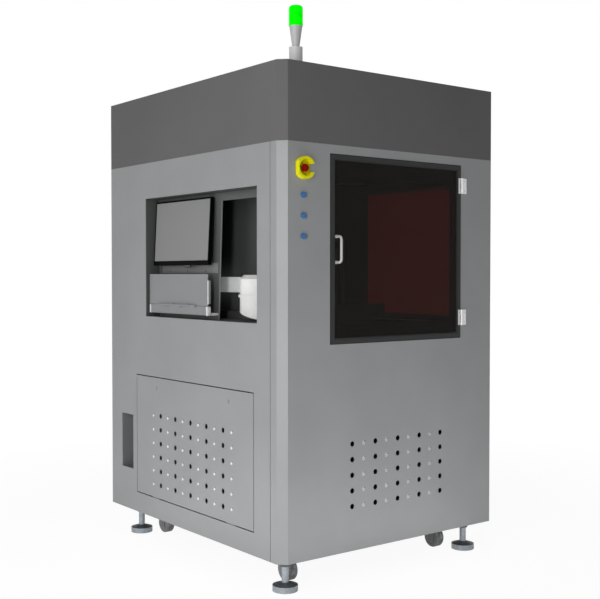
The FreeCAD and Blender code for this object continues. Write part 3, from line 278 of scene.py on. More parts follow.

# %% [markdown]
# ## Feet, tyres and the lamp
# The feet are zinc-plated steel, whose crystals give a bluish grey with a faint spangle a few
# millimetres wide, so cells of a Voronoi texture drive a small change of tone. The cone above each
# foot's pad is painted darker, which height picks out: painted shade for the cabinet's shade over
# it. The castor treads are moulded rubber, matt and dusty. The lamp's lens is dyed acrylic, lit
# from inside, and reads as one bright green.

# %% Plated steel, rubber, lens and post
SPANGLE_MM = 9
DUST_MM = 14
LENS_RIB_MM = 6
WAVE_PER_SCALE = 20
FOOT_RANGE = 0.1
PAD_RIM = 0.0221
CONE_TOP = 0.0322


def spangled_zinc(name, colour, cone_painted_shade, roughness):
    material, tree, surface = begin(name)
    where = add(tree, "ShaderNodeTexCoord").outputs["Object"]
    height = add(tree, "ShaderNodeSeparateXYZ", {"Vector": where}).outputs["Z"]
    part = add(tree, "ShaderNodeMapRange", {"Value": height, "From Min": 0.0, "From Max": FOOT_RANGE})
    # the darker band over the cone is painted shade
    tone = add(tree, "ShaderNodeValToRGB", {"Fac": part.outputs["Result"]},
               stops=[(0.0, colour), (PAD_RIM / FOOT_RANGE, cone_painted_shade), (CONE_TOP / FOOT_RANGE, colour)])
    tone.color_ramp.interpolation = "CONSTANT"
    cells = add(tree, "ShaderNodeTexVoronoi", {"Vector": where, "Scale": per_metre(SPANGLE_MM)})
    spangle = add(tree, "ShaderNodeValToRGB", {"Fac": cells.outputs["Distance"]},
                  stops=[(0.0, "#ffffff"), (0.8, "#e4e4e4")])
    tint = add(tree, "ShaderNodeMixRGB", {"Fac": 1.0, "Color1": tone.outputs["Color"],
                                          "Color2": spangle.outputs["Color"]}, blend_type="MULTIPLY")
    gloss = add(tree, "ShaderNodeMapRange", {"Value": cells.outputs["Distance"], "To Min": roughness - 0.05,
                                             "To Max": roughness + 0.08})
    rim = add(tree, "ShaderNodeBevel", {"Radius": MOULD_RIM}, samples=4)
    add(tree, surface, {"Base Color": tint.outputs["Color"], "Roughness": gloss.outputs["Result"],
                        "Normal": rim.outputs["Normal"], "Metallic": 0.25})
    return material


def moulded_rubber(name, colour):
    material, tree, surface = begin(name)
    where = add(tree, "ShaderNodeTexCoord").outputs["Object"]
    dust = add(tree, "ShaderNodeTexNoise", {"Vector": where, "Scale": per_metre(DUST_MM), "Detail": 6})
    tint = add(tree, "ShaderNodeValToRGB", {"Fac": dust.outputs["Fac"]},
               stops=[(0.35, shade(colour, 0.85)), (0.75, shade(colour, 1.25))])
    skin = add(tree, "ShaderNodeBump", {"Height": dust.outputs["Fac"], "Strength": 0.15,
                                        "Distance": PEEL_DEPTH})
    add(tree, surface, {"Base Color": tint.outputs["Color"], "Normal": skin.outputs["Normal"],
                        "Roughness": 0.75})
    return material


def dyed_lens(name, colour):
    material, tree, surface = begin(name)
    where = add(tree, "ShaderNodeTexCoord").outputs["Object"]
    rib_scale = per_metre(LENS_RIB_MM) / WAVE_PER_SCALE
    ribs = add(tree, "ShaderNodeTexWave", {"Vector": where, "Scale": rib_scale, "Distortion": 0.0},
               bands_direction="Z")
    tint = add(tree, "ShaderNodeValToRGB", {"Fac": ribs.outputs["Fac"]},
               stops=[(0.0, shade(colour, 0.92)), (1.0, colour)])
    add(tree, surface, {"Base Color": tint.outputs["Color"], "Emission Color": tint.outputs["Color"],
                        "Emission Strength": 0.6, "Roughness": 0.4, "Specular IOR Level": 0.05})
    return material


finishes.update({
    "foot_zinc": spangled_zinc("steel_zinc_plated", "#b4bcc2", "#62666a", 0.45),
    "tread": moulded_rubber("rubber_moulded_grey", "#909090"),
    "seal": moulded_rubber("rubber_extruded_black", "#151515"),
    "lens": dyed_lens("acrylic_dyed_green", "#00f800"),
})
print(len(finishes), "finishes with feet, treads and lens")

# %% [markdown]
# ## The lamp's post
# One moulding carries a dark flange on the hood, a socket and a neck. The socket is painted paler
# than the neck, painted light that makes up for the shade it sits in, so that the two read as one
# grey. Height above the hood picks the tone, through a colour ramp with hard steps.

# %% Lamp post
HOOD_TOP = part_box("hood_shell")[1][2]
POST_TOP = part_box("lamp_base")[1][2]


def lamp_post(name):
    material, tree, surface = begin(name)
    where = add(tree, "ShaderNodeTexCoord").outputs["Object"]
    height = add(tree, "ShaderNodeSeparateXYZ", {"Vector": where}).outputs["Z"]
    share = add(tree, "ShaderNodeMapRange", {"Value": height, "From Min": HOOD_TOP, "From Max": POST_TOP})
    # the socket's paler stop is painted light against its shade
    tint = add(tree, "ShaderNodeValToRGB", {"Fac": share.outputs["Result"]},
               stops=[(0.0, "#3c3d3d"), (0.08, "#e8e8e8"), (0.49, "#cacaca")])
    tint.color_ramp.interpolation = "CONSTANT"
    grain = add(tree, "ShaderNodeTexNoise", {"Vector": where, "Scale": per_metre(MOULD_GRAIN_MM)})
    rim = add(tree, "ShaderNodeBevel", {"Radius": MOULD_RIM}, samples=4)
    skin = add(tree, "ShaderNodeBump", {"Height": grain.outputs["Fac"], "Strength": 0.05,
                                        "Distance": GRAIN_DEPTH, "Normal": rim.outputs["Normal"]})
    add(tree, surface, {"Base Color": tint.outputs["Color"], "Normal": skin.outputs["Normal"],
                        "Roughness": 0.4})
    return material


finishes["lamp_post"] = lamp_post("polycarbonate_moulded_post")
print("lamp post from", round(HOOD_TOP, 3), "to", round(POST_TOP, 3))

# %% [markdown]
# ## Window, screen and the chamber behind the window
# The window is dark tinted acrylic sheet that keeps stray daylight off the resin. Alpha lets a
# little light through both its faces, which is lighter to render than true refraction and keeps
# the gloss. The screen is switched off to a plain grey panel with an anti-glare etch. The chamber
# is black inside but for a deep red panel on its right wall, which carries a painted glow: its
# emission stands in for light on it, so that it reads evenly lit.

# %% Window, screen and chamber
WINDOW_ALPHA = 0.5
HAZE_MM = 180
ETCH_MM = 2.5
RIGHT_WALL = 0.3435
RED_LOW = 0.999
RED_HIGH = 1.540


def tinted_sheet(name):
    material, tree, surface = begin(name)
    where = add(tree, "ShaderNodeTexCoord").outputs["Object"]
    haze = add(tree, "ShaderNodeTexNoise", {"Vector": where, "Scale": per_metre(HAZE_MM), "Detail": 4})
    tint = add(tree, "ShaderNodeValToRGB", {"Fac": haze.outputs["Fac"]},
               stops=[(0.3, "#211e1c"), (0.7, "#25211f")])
    gloss = add(tree, "ShaderNodeMapRange", {"Value": haze.outputs["Fac"], "To Min": 0.04, "To Max": 0.09})
    add(tree, surface, {"Base Color": tint.outputs["Color"], "Roughness": gloss.outputs["Result"],
                        "Alpha": WINDOW_ALPHA, "IOR": 1.49, "Specular IOR Level": 0.08})
    return material


def screen_panel(name):
    material, tree, surface = begin(name)
    where = add(tree, "ShaderNodeTexCoord").outputs["Object"]
    etch = add(tree, "ShaderNodeTexNoise", {"Vector": where, "Scale": per_metre(ETCH_MM), "Detail": 2})
    tint = add(tree, "ShaderNodeValToRGB", {"Fac": etch.outputs["Fac"]},
               stops=[(0.3, "#969696"), (0.7, "#999999")])
    skin = add(tree, "ShaderNodeBump", {"Height": etch.outputs["Fac"], "Strength": 0.04,
                                        "Distance": 0.0001})
    add(tree, surface, {"Base Color": tint.outputs["Color"], "Normal": skin.outputs["Normal"],
                        "Roughness": 0.6, "Specular IOR Level": 0.15})
    return material


def chamber_coat(name):
    material, tree, surface = begin(name)
    where = add(tree, "ShaderNodeTexCoord").outputs["Object"]
    place = add(tree, "ShaderNodeSeparateXYZ", {"Vector": where})
    side = add(tree, "ShaderNodeMath", {0: place.outputs["X"], 1: RIGHT_WALL}, operation="GREATER_THAN")
    middle = (RED_LOW + RED_HIGH) / 2
    half = (RED_HIGH - RED_LOW) / 2
    level = add(tree, "ShaderNodeMath", {0: place.outputs["Z"], 1: middle, 2: half}, operation="COMPARE")
    red = add(tree, "ShaderNodeMath", {0: side.outputs[0], 1: level.outputs[0]}, operation="MULTIPLY")
    tint = add(tree, "ShaderNodeValToRGB", {"Fac": red.outputs[0]},
               stops=[(0.0, "#141312"), (1.0, "#4a1a12")])
    # painted glow: emission on the red panel stands in for light falling on it
    glow = add(tree, "ShaderNodeValToRGB", {"Fac": red.outputs[0]},
               stops=[(0.0, "#000000"), (1.0, "#440a08")])
    grain = add(tree, "ShaderNodeTexNoise", {"Vector": where, "Scale": per_metre(PEEL_MM), "Detail": 3})
    skin = add(tree, "ShaderNodeBump", {"Height": grain.outputs["Fac"], "Strength": 0.08,
                                        "Distance": 0.0003})
    add(tree, surface, {"Base Color": tint.outputs["Color"], "Normal": skin.outputs["Normal"],
                        "Roughness": 0.6, "Specular IOR Level": 0.05,
                        "Emission Color": glow.outputs["Color"], "Emission Strength": 1.0})
    return material


finishes.update({
    "window": tinted_sheet("acrylic_sheet_tinted"),
    "screen": screen_panel("glass_etched_anti_glare"),
    "chamber": chamber_coat("powder_coat_black_and_red_painted_light"),
})
print(len(finishes), "finishes in all")

# %% [markdown]
# ## Finish on each solid
# Each solid keeps its shape and takes the finish of the real piece. A table of solid to finish is
# easier to check against the object than one assignment per line, and the four feet and castors
# share theirs.

# %% Dress the solids
worn = {
    "base_plate": "frame_coat", "corner_posts": "frame_coat", "front_panel": "cabinet_coat",
    "left_panel": "cabinet_coat", "right_panel": "cabinet_coat", "rear_panel": "cabinet_coat",
    "hood_shell": "hood_coat", "niche_liner": "niche_coat", "monitor_backing": "backing_coat",
    "monitor_housing": "monitor_case", "monitor_screen": "screen", "tray_hinge_strip": "tray_coat",
    "keyboard_tray": "tray_coat", "resin_canister": "canister", "canister_beam": "beam_coat",
    "service_panel": "cabinet_coat", "cable_recess": "recess_coat", "service_latch_front": "latch_zinc",
    "service_latch_rear": "latch_zinc", "door_frame": "door_coat", "door_glass": "window",
    "door_handle": "handle_coat", "hinge_plates": "hinge_steel", "door_hinge_leaves": "hinge_steel",
    "estop_guard": "guard", "estop_button": "stop_head", "push_button_top": "button",
    "push_button_middle": "button", "push_button_bottom": "button", "chamber_liner": "chamber",
    "resin_vat": "vat_steel", "vat_stand": "stand_coat", "build_platform": "platform_steel",
    "lifting_arms": "arm_metal", "lifting_column": "column_metal", "lifting_screw": "ground_steel",
    "lifting_motor": "motor_coat", "recoater_ways": "ground_steel", "recoater": "recoater_metal",
    "optics_plate": "optics_metal", "laser_head": "case_coat", "scan_head": "scan_metal",
    "scan_mirror_side": "mirror", "scan_mirror_top": "mirror", "control_cabinet": "case_coat",
    "exhaust_spigot": "exhaust_metal", "lamp_base": "lamp_post", "lamp_lens": "lens",
}
CORNERS = ("front_left", "front_right", "rear_left", "rear_right")
for corner in CORNERS:
    worn["foot_" + corner] = "foot_zinc"
    worn["castor_fork_" + corner] = "castor_coat"
    worn["castor_wheel_" + corner] = "tread"
for name, finish in worn.items():
    for material_slot in nodes[name].material_slots:
        material_slot.material = finishes[finish]
print(len(worn), "solids dressed,", sorted(set(nodes) - set(worn)), "left")

# %% [markdown]
# ## Making fittings
# Small fittings are modelled as meshes. Most are turned shapes, made by spinning an outline, or
# bars with rounded edges. Two helpers make those, and a third names a finished mesh, gives it its
# finish, and ties it to the body that it moves with.

# %% Mesh helpers
ROUND_STEPS = 48


def turned(outline, place, axis):
    """Mesh of an outline of (radius, height) points spun about an axis through a place."""
    mesh = bmesh.new()
    ring = [mesh.verts.new((radius, 0, height)) for radius, height in outline]
    edges = [mesh.edges.new(pair) for pair in zip(ring, ring[1:])]
    bmesh.ops.spin(mesh, geom=ring + edges, cent=(0, 0, 0), axis=(0, 0, 1), angle=math.tau,
                   steps=ROUND_STEPS, use_duplicate=False)
    bmesh.ops.remove_doubles(mesh, verts=mesh.verts, dist=1e-6)
    bmesh.ops.recalc_face_normals(mesh, faces=mesh.faces)
    turn = Vector((0, 0, 1)).rotation_difference(Vector(axis)).to_matrix().to_4x4()
    mesh.transform(Matrix.Translation(place) @ turn)
    return mesh


def bar(low, high, rounding):
    """Mesh of a block between two corners with rounded edges."""
    mesh = bmesh.new()
    size = [b - a for a, b in zip(low, high)]
    middle = [(a + b) / 2 for a, b in zip(low, high)]
    bmesh.ops.create_cube(mesh, size=1, matrix=Matrix.Translation(middle) @ Matrix.Diagonal((*size, 1)))
    bmesh.ops.bevel(mesh, geom=mesh.edges[:], offset=rounding, segments=3, affect="EDGES", profile=0.5)
    return mesh


def fitting(name, meshes, finish, body):
    """Joins meshes into one named piece that rides on a body."""
    data = bpy.data.meshes.new(name)
    whole = bmesh.new()
    for mesh in meshes:
        scratch = bpy.data.meshes.new("scratch")
        mesh.to_mesh(scratch)
        mesh.free()
        whole.from_mesh(scratch)
        bpy.data.meshes.remove(scratch)
    whole.to_mesh(data)
    whole.free()
    piece = bpy.data.objects.new(name, data)
    bpy.context.scene.collection.objects.link(piece)
    data.materials.append(finishes[finish])
    data.shade_smooth()
    data.set_sharp_from_angle(angle=math.radians(35))
    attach(piece, body)
    print(name, len(data.polygons), "faces on", body)
    return piece


print("helpers for fittings ready")

# %% [markdown]
# ## Window seal
# A black extruded rubber bead runs round the window where it meets the frame. It is swept round
# the opening as one ring with mitred corners: the same small half-round section stands at each
# corner, and faces join corner to corner.

# %% Window seal
SEAL_WIDTH = 0.0045
SEAL_HEIGHT = 0.0028
window_low, window_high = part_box("door_glass")


def seal_ring(low, high, face):
    mesh = bmesh.new()
    section = [(math.cos(a) * 0.5 + 0.5, math.sin(a)) for a in [math.pi * step / 6 for step in range(7)]]
    rings = []
    for x, z, inward_x, inward_z in ((low[0], low[2], 1, 1), (high[0], low[2], -1, 1),
                                     (high[0], high[2], -1, -1), (low[0], high[2], 1, -1)):
        rings.append([mesh.verts.new((x + inward_x * SEAL_WIDTH * across, face - SEAL_HEIGHT * up,
                                      z + inward_z * SEAL_WIDTH * across)) for across, up in section])
    for ring, following in zip(rings, rings[1:] + rings[:1]):
        count = len(section)
        for index in range(count):
            beside = (index + 1) % count
            mesh.faces.new((ring[index], ring[beside], following[beside], following[index]))
    bmesh.ops.recalc_face_normals(mesh, faces=mesh.faces)
    return mesh


fitting("window_seal", [seal_ring(window_low, window_high, window_low[1])], "seal", "door")

# %% [markdown]
# ## Hinge screws
# Each hinge leaf is held by two countersunk screws. A screw head is a shallow dome with a cross
# recess. The dome is turned, and the recess is two thin black bars let into it: painted shade
# that stands for the dark inside of the cross, which is how such a head reads at this size.

# %% Hinge screws
SCREW_RADIUS = 0.0036
SCREW_DOME = [(0, 0.0010), (0.0016, 0.0009), (0.0029, 0.0005), (SCREW_RADIUS, 0), (SCREW_RADIUS, -0.0004),
              (0, -0.0004)]
plates_low, plates_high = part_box("hinge_plates")
leaves_low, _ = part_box("door_hinge_leaves")
FRAME_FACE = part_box("door_frame")[0][1]
LEAF_THICKNESS = 0.003
LEAF_FACE = FRAME_FACE - LEAF_THICKNESS
SCREW_SPREAD = 0.020
HINGE_HALF = 0.032
PLATE_SCREW_INSET = 0.0118
LEAF_SCREW_INSET = 0.0068
CROSS_LONG = 0.0021
CROSS_THIN = 0.0005


def screw_heads(x):
    levels = (plates_low[2] + HINGE_HALF, plates_high[2] - HINGE_HALF)
    spots = [(x, LEAF_FACE, level + way * SCREW_SPREAD) for level in levels for way in (-1, 1)]
    domes = [turned(SCREW_DOME, spot, (0, -1, 0)) for spot in spots]
    # black bars: painted shade of the cross recess
    cross_shade_bars = []
    for x_spot, y_spot, z_spot in spots:
        for wide, tall in ((CROSS_LONG, CROSS_THIN), (CROSS_THIN, CROSS_LONG)):
            cross_shade_bars.append(bar((x_spot - wide, y_spot - 0.00105, z_spot - tall),
                             (x_spot + wide, y_spot - 0.0004, z_spot + tall), 0.0001))
    return domes, cross_shade_bars


for label, x, body in (("plate", plates_high[0] - PLATE_SCREW_INSET, "cabinet"),
                       ("leaf", leaves_low[0] + LEAF_SCREW_INSET, "door")):
    domes, cross_shade_bars = screw_heads(x)
    fitting(f"hinge_{label}_screws", domes, "hinge_steel", body)
    fitting(f"hinge_{label}_screw_cross_painted_shade", cross_shade_bars, "monitor_case", body)

# %% [markdown]
# ## Handle feet
# The bow handle is clamped through the window on two small round washers.

# %% Handle feet
handle_low, handle_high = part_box("door_handle")
HANDLE_BAR = 0.005
WASHER_HOLE = HANDLE_BAR + 0.0002
WASHER = [(WASHER_HOLE, 0), (0.0066, 0), (0.0066, 0.0010), (0.0062, 0.0014), (WASHER_HOLE, 0.0014),
          (WASHER_HOLE, 0)]
washers = []
for z in (handle_low[2] + HANDLE_BAR, handle_high[2] - HANDLE_BAR):
    washers.append(turned(WASHER, ((handle_low[0] + handle_high[0]) / 2, window_low[1], z), (0, -1, 0)))
fitting("handle_washers", washers, "handle_coat", "door")

# %% [markdown]
# ## Button caps
# The stop button is a mushroom with a domed top, and the three push buttons have a slightly
# crowned cap. The solids end flat, so a thin turned crown sits on each and moves with it.

# %% Button caps
CROWN_SINK = 0.0004
STOP_RISE = 0.0018
BUTTON_RISE = 0.0016


def crown(radius, rise, steps=8):
    """Outline of a shallow dome with a rounded shoulder."""
    angles = [math.pi / 2 * step / steps for step in range(steps + 1)]
    points = [(radius * math.sin(a), rise * math.cos(a)) for a in angles]
    return points + [(radius, -CROWN_SINK), (0, -CROWN_SINK)]


def face_of(node):
    low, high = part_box(node)
    return ((low[0] + high[0]) / 2, low[1], (low[2] + high[2]) / 2)


stop_low, stop_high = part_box("estop_button")
STOP_RADIUS = (stop_high[0] - stop_low[0]) / 2
BUTTON_RADIUS = 0.011
EASE = 0.0002
stop_crown = turned(crown(STOP_RADIUS - EASE, STOP_RISE), face_of("estop_button"), (0, -1, 0))
fitting("stop_crown", [stop_crown], "stop_head", "estop")
for level in ("top", "middle", "bottom"):
    cap = turned(crown(BUTTON_RADIUS - EASE, BUTTON_RISE), face_of("push_button_" + level), (0, -1, 0))
    fitting(f"button_{level}_crown", [cap], "button", "button_" + level)

# %% [markdown]
# ## Plate inside the guard
# The stop button sits on a round yellow plate, painted a deeper yellow than the guard: painted
# shade, on top of the shade that the guard casts on it. It is a thin turned washer that fills the
# guard's bore and leaves room for the button's stem.

# %% Stop plate
PANEL_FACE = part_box("front_panel")[0][1]
guard_low, guard_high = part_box("estop_guard")
GUARD_WALL = 0.011
PLATE_RADIUS = (guard_high[2] - guard_low[2]) / 2 - GUARD_WALL - EASE
STEM_HOLE = 0.0086
PLATE = [(STEM_HOLE, 0), (PLATE_RADIUS, 0), (PLATE_RADIUS, 0.0012), (PLATE_RADIUS - 0.0004, 0.0016),
         (STEM_HOLE, 0.0016), (STEM_HOLE, 0)]
stop_x, _, stop_z = face_of("estop_button")
stop_plate = turned(PLATE, (stop_x, PANEL_FACE, stop_z), (0, -1, 0))
fitting("stop_plate", [stop_plate], "guard_floor", "cabinet")

# %% [markdown]
# ## Vent dimples
# Every second column of the vents is not punched through but pressed in with a ball. Two thin
# turned scales that follow the ball lie in each dimple: a pale one low on the left is a painted
# highlight, and a darker one opposite is painted shade. The ball's radius follows from the
# dimple's width and depth, and a scale is turned about a line through the ball's middle.

# %% Vent dimples
VENT_RADIUS = 0.0105
DIMPLE_DEPTH = 0.0022
BALL = (VENT_RADIUS ** 2 + DIMPLE_DEPTH ** 2) / (2 * DIMPLE_DEPTH)
SCALE_THICKNESS = 0.0001
BRIGHT_LIFT = 0.00015
SHADE_LIFT = 0.0003
RIM_ANGLE = math.radians(1.6)
BALL_ANGLE = math.asin(VENT_RADIUS / BALL)
FRONT_BRIGHT = math.radians(17.5)
SIDE_BRIGHT = math.radians(12.5)
SHADE_ANGLE = math.radians(8)
ROW_PITCH = 0.0605


def scale(spot, outward, toward, half_angle, lift, steps=5):
    """A thin piece of the ball's skin at one side of a dimple that opens outward at a spot."""
    outward = Vector(outward)
    tilt = BALL_ANGLE - half_angle - RIM_ANGLE
    middle = Vector(spot) + outward * (BALL - DIMPLE_DEPTH)
    axis = -outward * math.cos(tilt) + Vector(toward).normalized() * math.sin(tilt)
    angles = [half_angle * step / steps for step in range(steps + 1)]
    skin = [(lift, a) for a in angles] + [(lift - SCALE_THICKNESS, a) for a in reversed(angles)]
    outline = [((BALL - up) * math.sin(a), (BALL - up) * math.cos(a)) for up, a in skin]
    return turned(outline, middle, axis)


def dress_dimples(name, columns, rows, pitch, spot, outward, toward, bright_angle, body):
    """Both scales at each dimple of a grid; spot turns steps across and up into a place."""
    bright = []
    dull = []
    for column in columns:
        for row in range(rows):
            place = spot(column * pitch, (row - (rows - 1) / 2) * ROW_PITCH)
            # the pale scale is a painted highlight, and the darker scale opposite is painted shade
            bright.append(scale(place, outward, toward, bright_angle, BRIGHT_LIFT))
            opposite = [-way for way in toward]
            dull.append(scale(place, outward, opposite, SHADE_ANGLE, SHADE_LIFT))
    fitting(name + "_vent_painted_highlight", bright, "vent_painted_highlight", body)
    fitting(name + "_vent_painted_shade", dull, "recess_coat", body)


FRONT_MIDDLE = (0.004, 0.404)
FRONT_PITCH = 0.0597
SIDE_DROP = 0.3155
service_low, service_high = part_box("service_panel")
SIDE_MIDDLE = ((service_low[1] + service_high[1]) / 2, service_high[2] - SIDE_DROP)
SIDE_PITCH = 0.0613
SIDE_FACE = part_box("left_panel")[0][0]
dress_dimples("front", (-3, -1, 1, 3), 5, FRONT_PITCH,
              lambda across, up: (FRONT_MIDDLE[0] + across, PANEL_FACE, FRONT_MIDDLE[1] + up),
              (0, -1, 0), (-1, 0, -1), FRONT_BRIGHT, "cabinet")
dress_dimples("side", (-5, -3, -1, 1, 3, 5), 6, SIDE_PITCH,
              lambda across, up: (SIDE_FACE, SIDE_MIDDLE[0] + across, SIDE_MIDDLE[1] + up),
              (-1, 0, 0), (0, 1, -1), SIDE_BRIGHT, "service_panel")

# %% [markdown]
# ## Latch slots
# The quarter-turn latches of the service panel are flush and have a screwdriver slot. A darker bar
# let into the head shows it: painted shade for the dark inside of the slot.

# %% Latch slots
LATCH_RADIUS = 0.011
SLOT_HALF_WIDTH = 0.0012
SLOT_HALF_LENGTH = 0.0075
SLOT_PROUD = 0.00005
SLOT_SINK = 0.0006
for end in ("front", "rear"):
    low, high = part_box("service_latch_" + end)
    spot = (low[0], low[1] + LATCH_RADIUS, (low[2] + high[2]) / 2)
    # the darker bar is painted shade of the slot
    slot_shade_bar = bar((spot[0] - SLOT_PROUD, spot[1] - SLOT_HALF_WIDTH, spot[2] - SLOT_HALF_LENGTH),
                   (spot[0] + SLOT_SINK, spot[1] + SLOT_HALF_WIDTH, spot[2] + SLOT_HALF_LENGTH), 0.0002)
    fitting(f"latch_{end}_slot", [slot_shade_bar], "slot_coat", "latch_" + end)

# %% [markdown]
# ## Painted highlight on the tray's bend, and corner brackets
# The folding tray has a white bar where its sheet turns back into the front lip: a painted
# highlight for the light that the bend catches. The strip that it hinges on is capped at both ends
# by a white moulded bracket, whose sleeve runs back along the strap to the backing panel. They are
# rounded bars, placed from the boxes of the tray and strip.

# %% Painted bend highlight and brackets
tray_low, tray_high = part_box("keyboard_tray")
strip_low, strip_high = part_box("tray_hinge_strip")
_, backing_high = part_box("monitor_backing")
HINGE_KNUCKLE = 0.0045
TRAY_FACE = tray_low[0] + 2 * HINGE_KNUCKLE + 0.0003
STRIP_DEPTH = 0.015
LIP_RISE = 0.008
LIP_HEIGHT = 0.096
TRAY_SHEET = 0.130
# white bar along the bend: painted highlight
painted_bend_highlight_foot = tray_high[2] - TRAY_SHEET + LIP_RISE
painted_bend_highlight = bar((TRAY_FACE - 0.0008, tray_low[1] - 0.0012, painted_bend_highlight_foot),
             (TRAY_FACE + 0.0065, tray_low[1] + 0.0014, painted_bend_highlight_foot + LIP_HEIGHT), 0.0008)
fitting("tray_painted_bend_highlight", [painted_bend_highlight], "beam_coat", "tray")

STRAP_INSET = 0.006
STRAP_WIDTH = 0.010
STRAP_HEIGHT = 0.008
CAP_HEIGHT = 0.0355
CAP_WIDTH = 0.009
SLEEVE = 0.0012
for end, edge, inward in (("front", strip_low[1], 1), ("rear", strip_high[1], -1)):
    across = sorted((edge - inward * SLEEVE, edge + inward * CAP_WIDTH))
    cap = bar((TRAY_FACE - SLEEVE, across[0], strip_low[2] - SLEEVE),
              (TRAY_FACE + STRIP_DEPTH + SLEEVE, across[1], strip_low[2] + CAP_HEIGHT), 0.0010)
    near, far = sorted((edge + inward * (STRAP_INSET - SLEEVE),
                        edge + inward * (STRAP_INSET + STRAP_WIDTH + SLEEVE)))
    sleeve = bar((TRAY_FACE + STRIP_DEPTH, near, strip_low[2] - SLEEVE),
                 (strip_high[0] - 0.0004, far, strip_low[2] + STRAP_HEIGHT + SLEEVE), 0.0010)
    fitting(f"strip_bracket_{end}", [cap, sleeve], "beam_coat", "cabinet")
print("tray", [round(v, 4) for v in (*tray_low, *tray_high)])

# %% [markdown]
# ## Rails and painted edge highlight in the niche
# A header rail in the backing panel's grey runs across the top of the niche, and a strip with
# small screws is fixed to the backing panel between the monitor and the tray. The strip is
# painted paler than the panel: a painted highlight for the light on that band below the monitor.
# The panel's free edge, which leans, has a pale trim, which is a painted highlight for the light
# that the edge catches. The rails are rounded bars, and the trim is a bar whose top end is pushed
# along.

# %% Niche rails
liner_low, liner_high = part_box("niche_liner")
SHEET = 0.002
BACKING_FACE = backing_high[0] - 0.003
niche_front = liner_low[1] + SHEET
niche_back = liner_high[1] - SHEET
niche_bottom = liner_low[2] + SHEET
niche_top = liner_high[2] - SHEET
HEADER_DROP = 0.034
RAIL_FACE = BACKING_FACE - 0.0022
RAIL_BACK = BACKING_FACE - 0.0002
header = bar((RAIL_FACE, niche_front + EASE, niche_top - HEADER_DROP),
             (RAIL_BACK, niche_back - EASE, niche_top - EASE), 0.0006)
fitting("niche_header_rail", [header], "backing_coat", "cabinet")

STRIP_TOP = tray_high[2] + 0.046
STRIP_FOOT = tray_high[2] + 0.004
BACKING_WIDTH = 0.484
BACKING_EDGE = niche_back - BACKING_WIDTH
# the strip's pale paint is a painted highlight for the light below the monitor
rail = bar((RAIL_FACE, BACKING_EDGE + 0.004, STRIP_FOOT), (RAIL_BACK, niche_back - 0.030, STRIP_TOP), 0.0006)
fitting("backing_rail", [rail], "pale_painted_highlight_coat", "cabinet")
spots = [(RAIL_FACE, BACKING_EDGE + share * BACKING_WIDTH, STRIP_FOOT + 0.008) for share in (0.2, 0.5, 0.8)]
rail_screws = [turned(SCREW_DOME, spot, (-1, 0, 0)) for spot in spots]
fitting("backing_rail_screws", rail_screws, "slot_coat", "cabinet")

# %% Edge trim, a painted highlight
TRIM_WIDTH = 0.0030
TRIM_LAP = 0.0008
EDGE_LEAN = 0.027
# the pale trim is a painted highlight along the panel's leaning edge
trim = bar((BACKING_FACE - TRIM_LAP, BACKING_EDGE - TRIM_LAP, niche_bottom + 0.0004),
           (backing_high[0] + TRIM_LAP, BACKING_EDGE + TRIM_WIDTH, niche_top - HEADER_DROP), 0.0006)
edge_height = niche_top - niche_bottom
for vertex in trim.verts:
    vertex.co.y -= EDGE_LEAN * (vertex.co.z - niche_bottom) / edge_height
fitting("backing_edge_painted_highlight", [trim], "pale_painted_highlight_coat", "cabinet")

# %% [markdown]
# ## Sensor bump under the monitor
# A small dark bump stands out below the monitor's frame, right of its middle. It is a bar with
# large roundings that moves with the monitor, and sits well forward so that it clears the backing
# panel when the monitor tilts inward.

# %% Monitor bump
monitor_low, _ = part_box("monitor_housing")
BUMP_Y = 0.042
BUMP_HALF = 0.024
BUMP_DROP = 0.010
BUMP_LAP = 0.004
BUMP_NEAR = 0.001
BUMP_FAR = 0.012
bump = bar((monitor_low[0] + BUMP_NEAR, BUMP_Y - BUMP_HALF, monitor_low[2] - BUMP_DROP),
           (monitor_low[0] + BUMP_FAR, BUMP_Y + BUMP_HALF, monitor_low[2] + BUMP_LAP), 0.0045)
fitting("monitor_bump", [bump], "knob", "monitor")

# %% [markdown]
# ## Castor hubs
# The castor wheels have a paler nylon face with a raised ring. A thin turned disc on each side of
# the wheel stands for it, thin enough to run clear of the fork.

# %% Castor hubs
HUB = [(0.0056, 0.0), (0.0056, 0.0004), (0.0120, 0.0005), (0.0130, 0.0002), (0.0300, 0.0002),
       (0.0315, 0.0006), (0.0345, 0.0006), (0.0365, 0.0), (0.0056, 0.0)]
for corner in CORNERS:
    low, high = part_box("castor_wheel_" + corner)
    middle = [(a + b) / 2 for a, b in zip(low, high)]
    faces = [turned(HUB, (high[0], middle[1], middle[2]), (1, 0, 0)),
             turned(HUB, (low[0], middle[1], middle[2]), (-1, 0, 0))]
    fitting(f"castor_hub_{corner}", faces, "wheel_hub", "wheel_" + corner)

# %% [markdown]
# ## Studio
# The object stands on a pale floor in front of nothing but white. Soft lamps light it: a broad one
# from the left, a tall narrow one before the bevelled corner, where it makes an even bright band,
# and two flat panels on the floor that lift the foot of the cabinet, as white cards would. A faint
# narrow one reaches the white beam deep in the niche. The camera doesn't see the lamps themselves.
# The world and the floor are white to the camera, in reflections and through glass, and plain grey
# to everything else, so the background costs the object no extra light.

# %% Floor
FLOOR_HALF = 30
floor_mesh = bmesh.new()
bmesh.ops.create_grid(floor_mesh, x_segments=1, y_segments=1, size=FLOOR_HALF)
floor_data = bpy.data.meshes.new("floor")
floor_mesh.to_mesh(floor_data)
floor_mesh.free()
floor = bpy.data.objects.new("floor", floor_data)
bpy.context.scene.collection.objects.link(floor)

floor_material, floor_tree, floor_surface = begin("floor_white_paper")


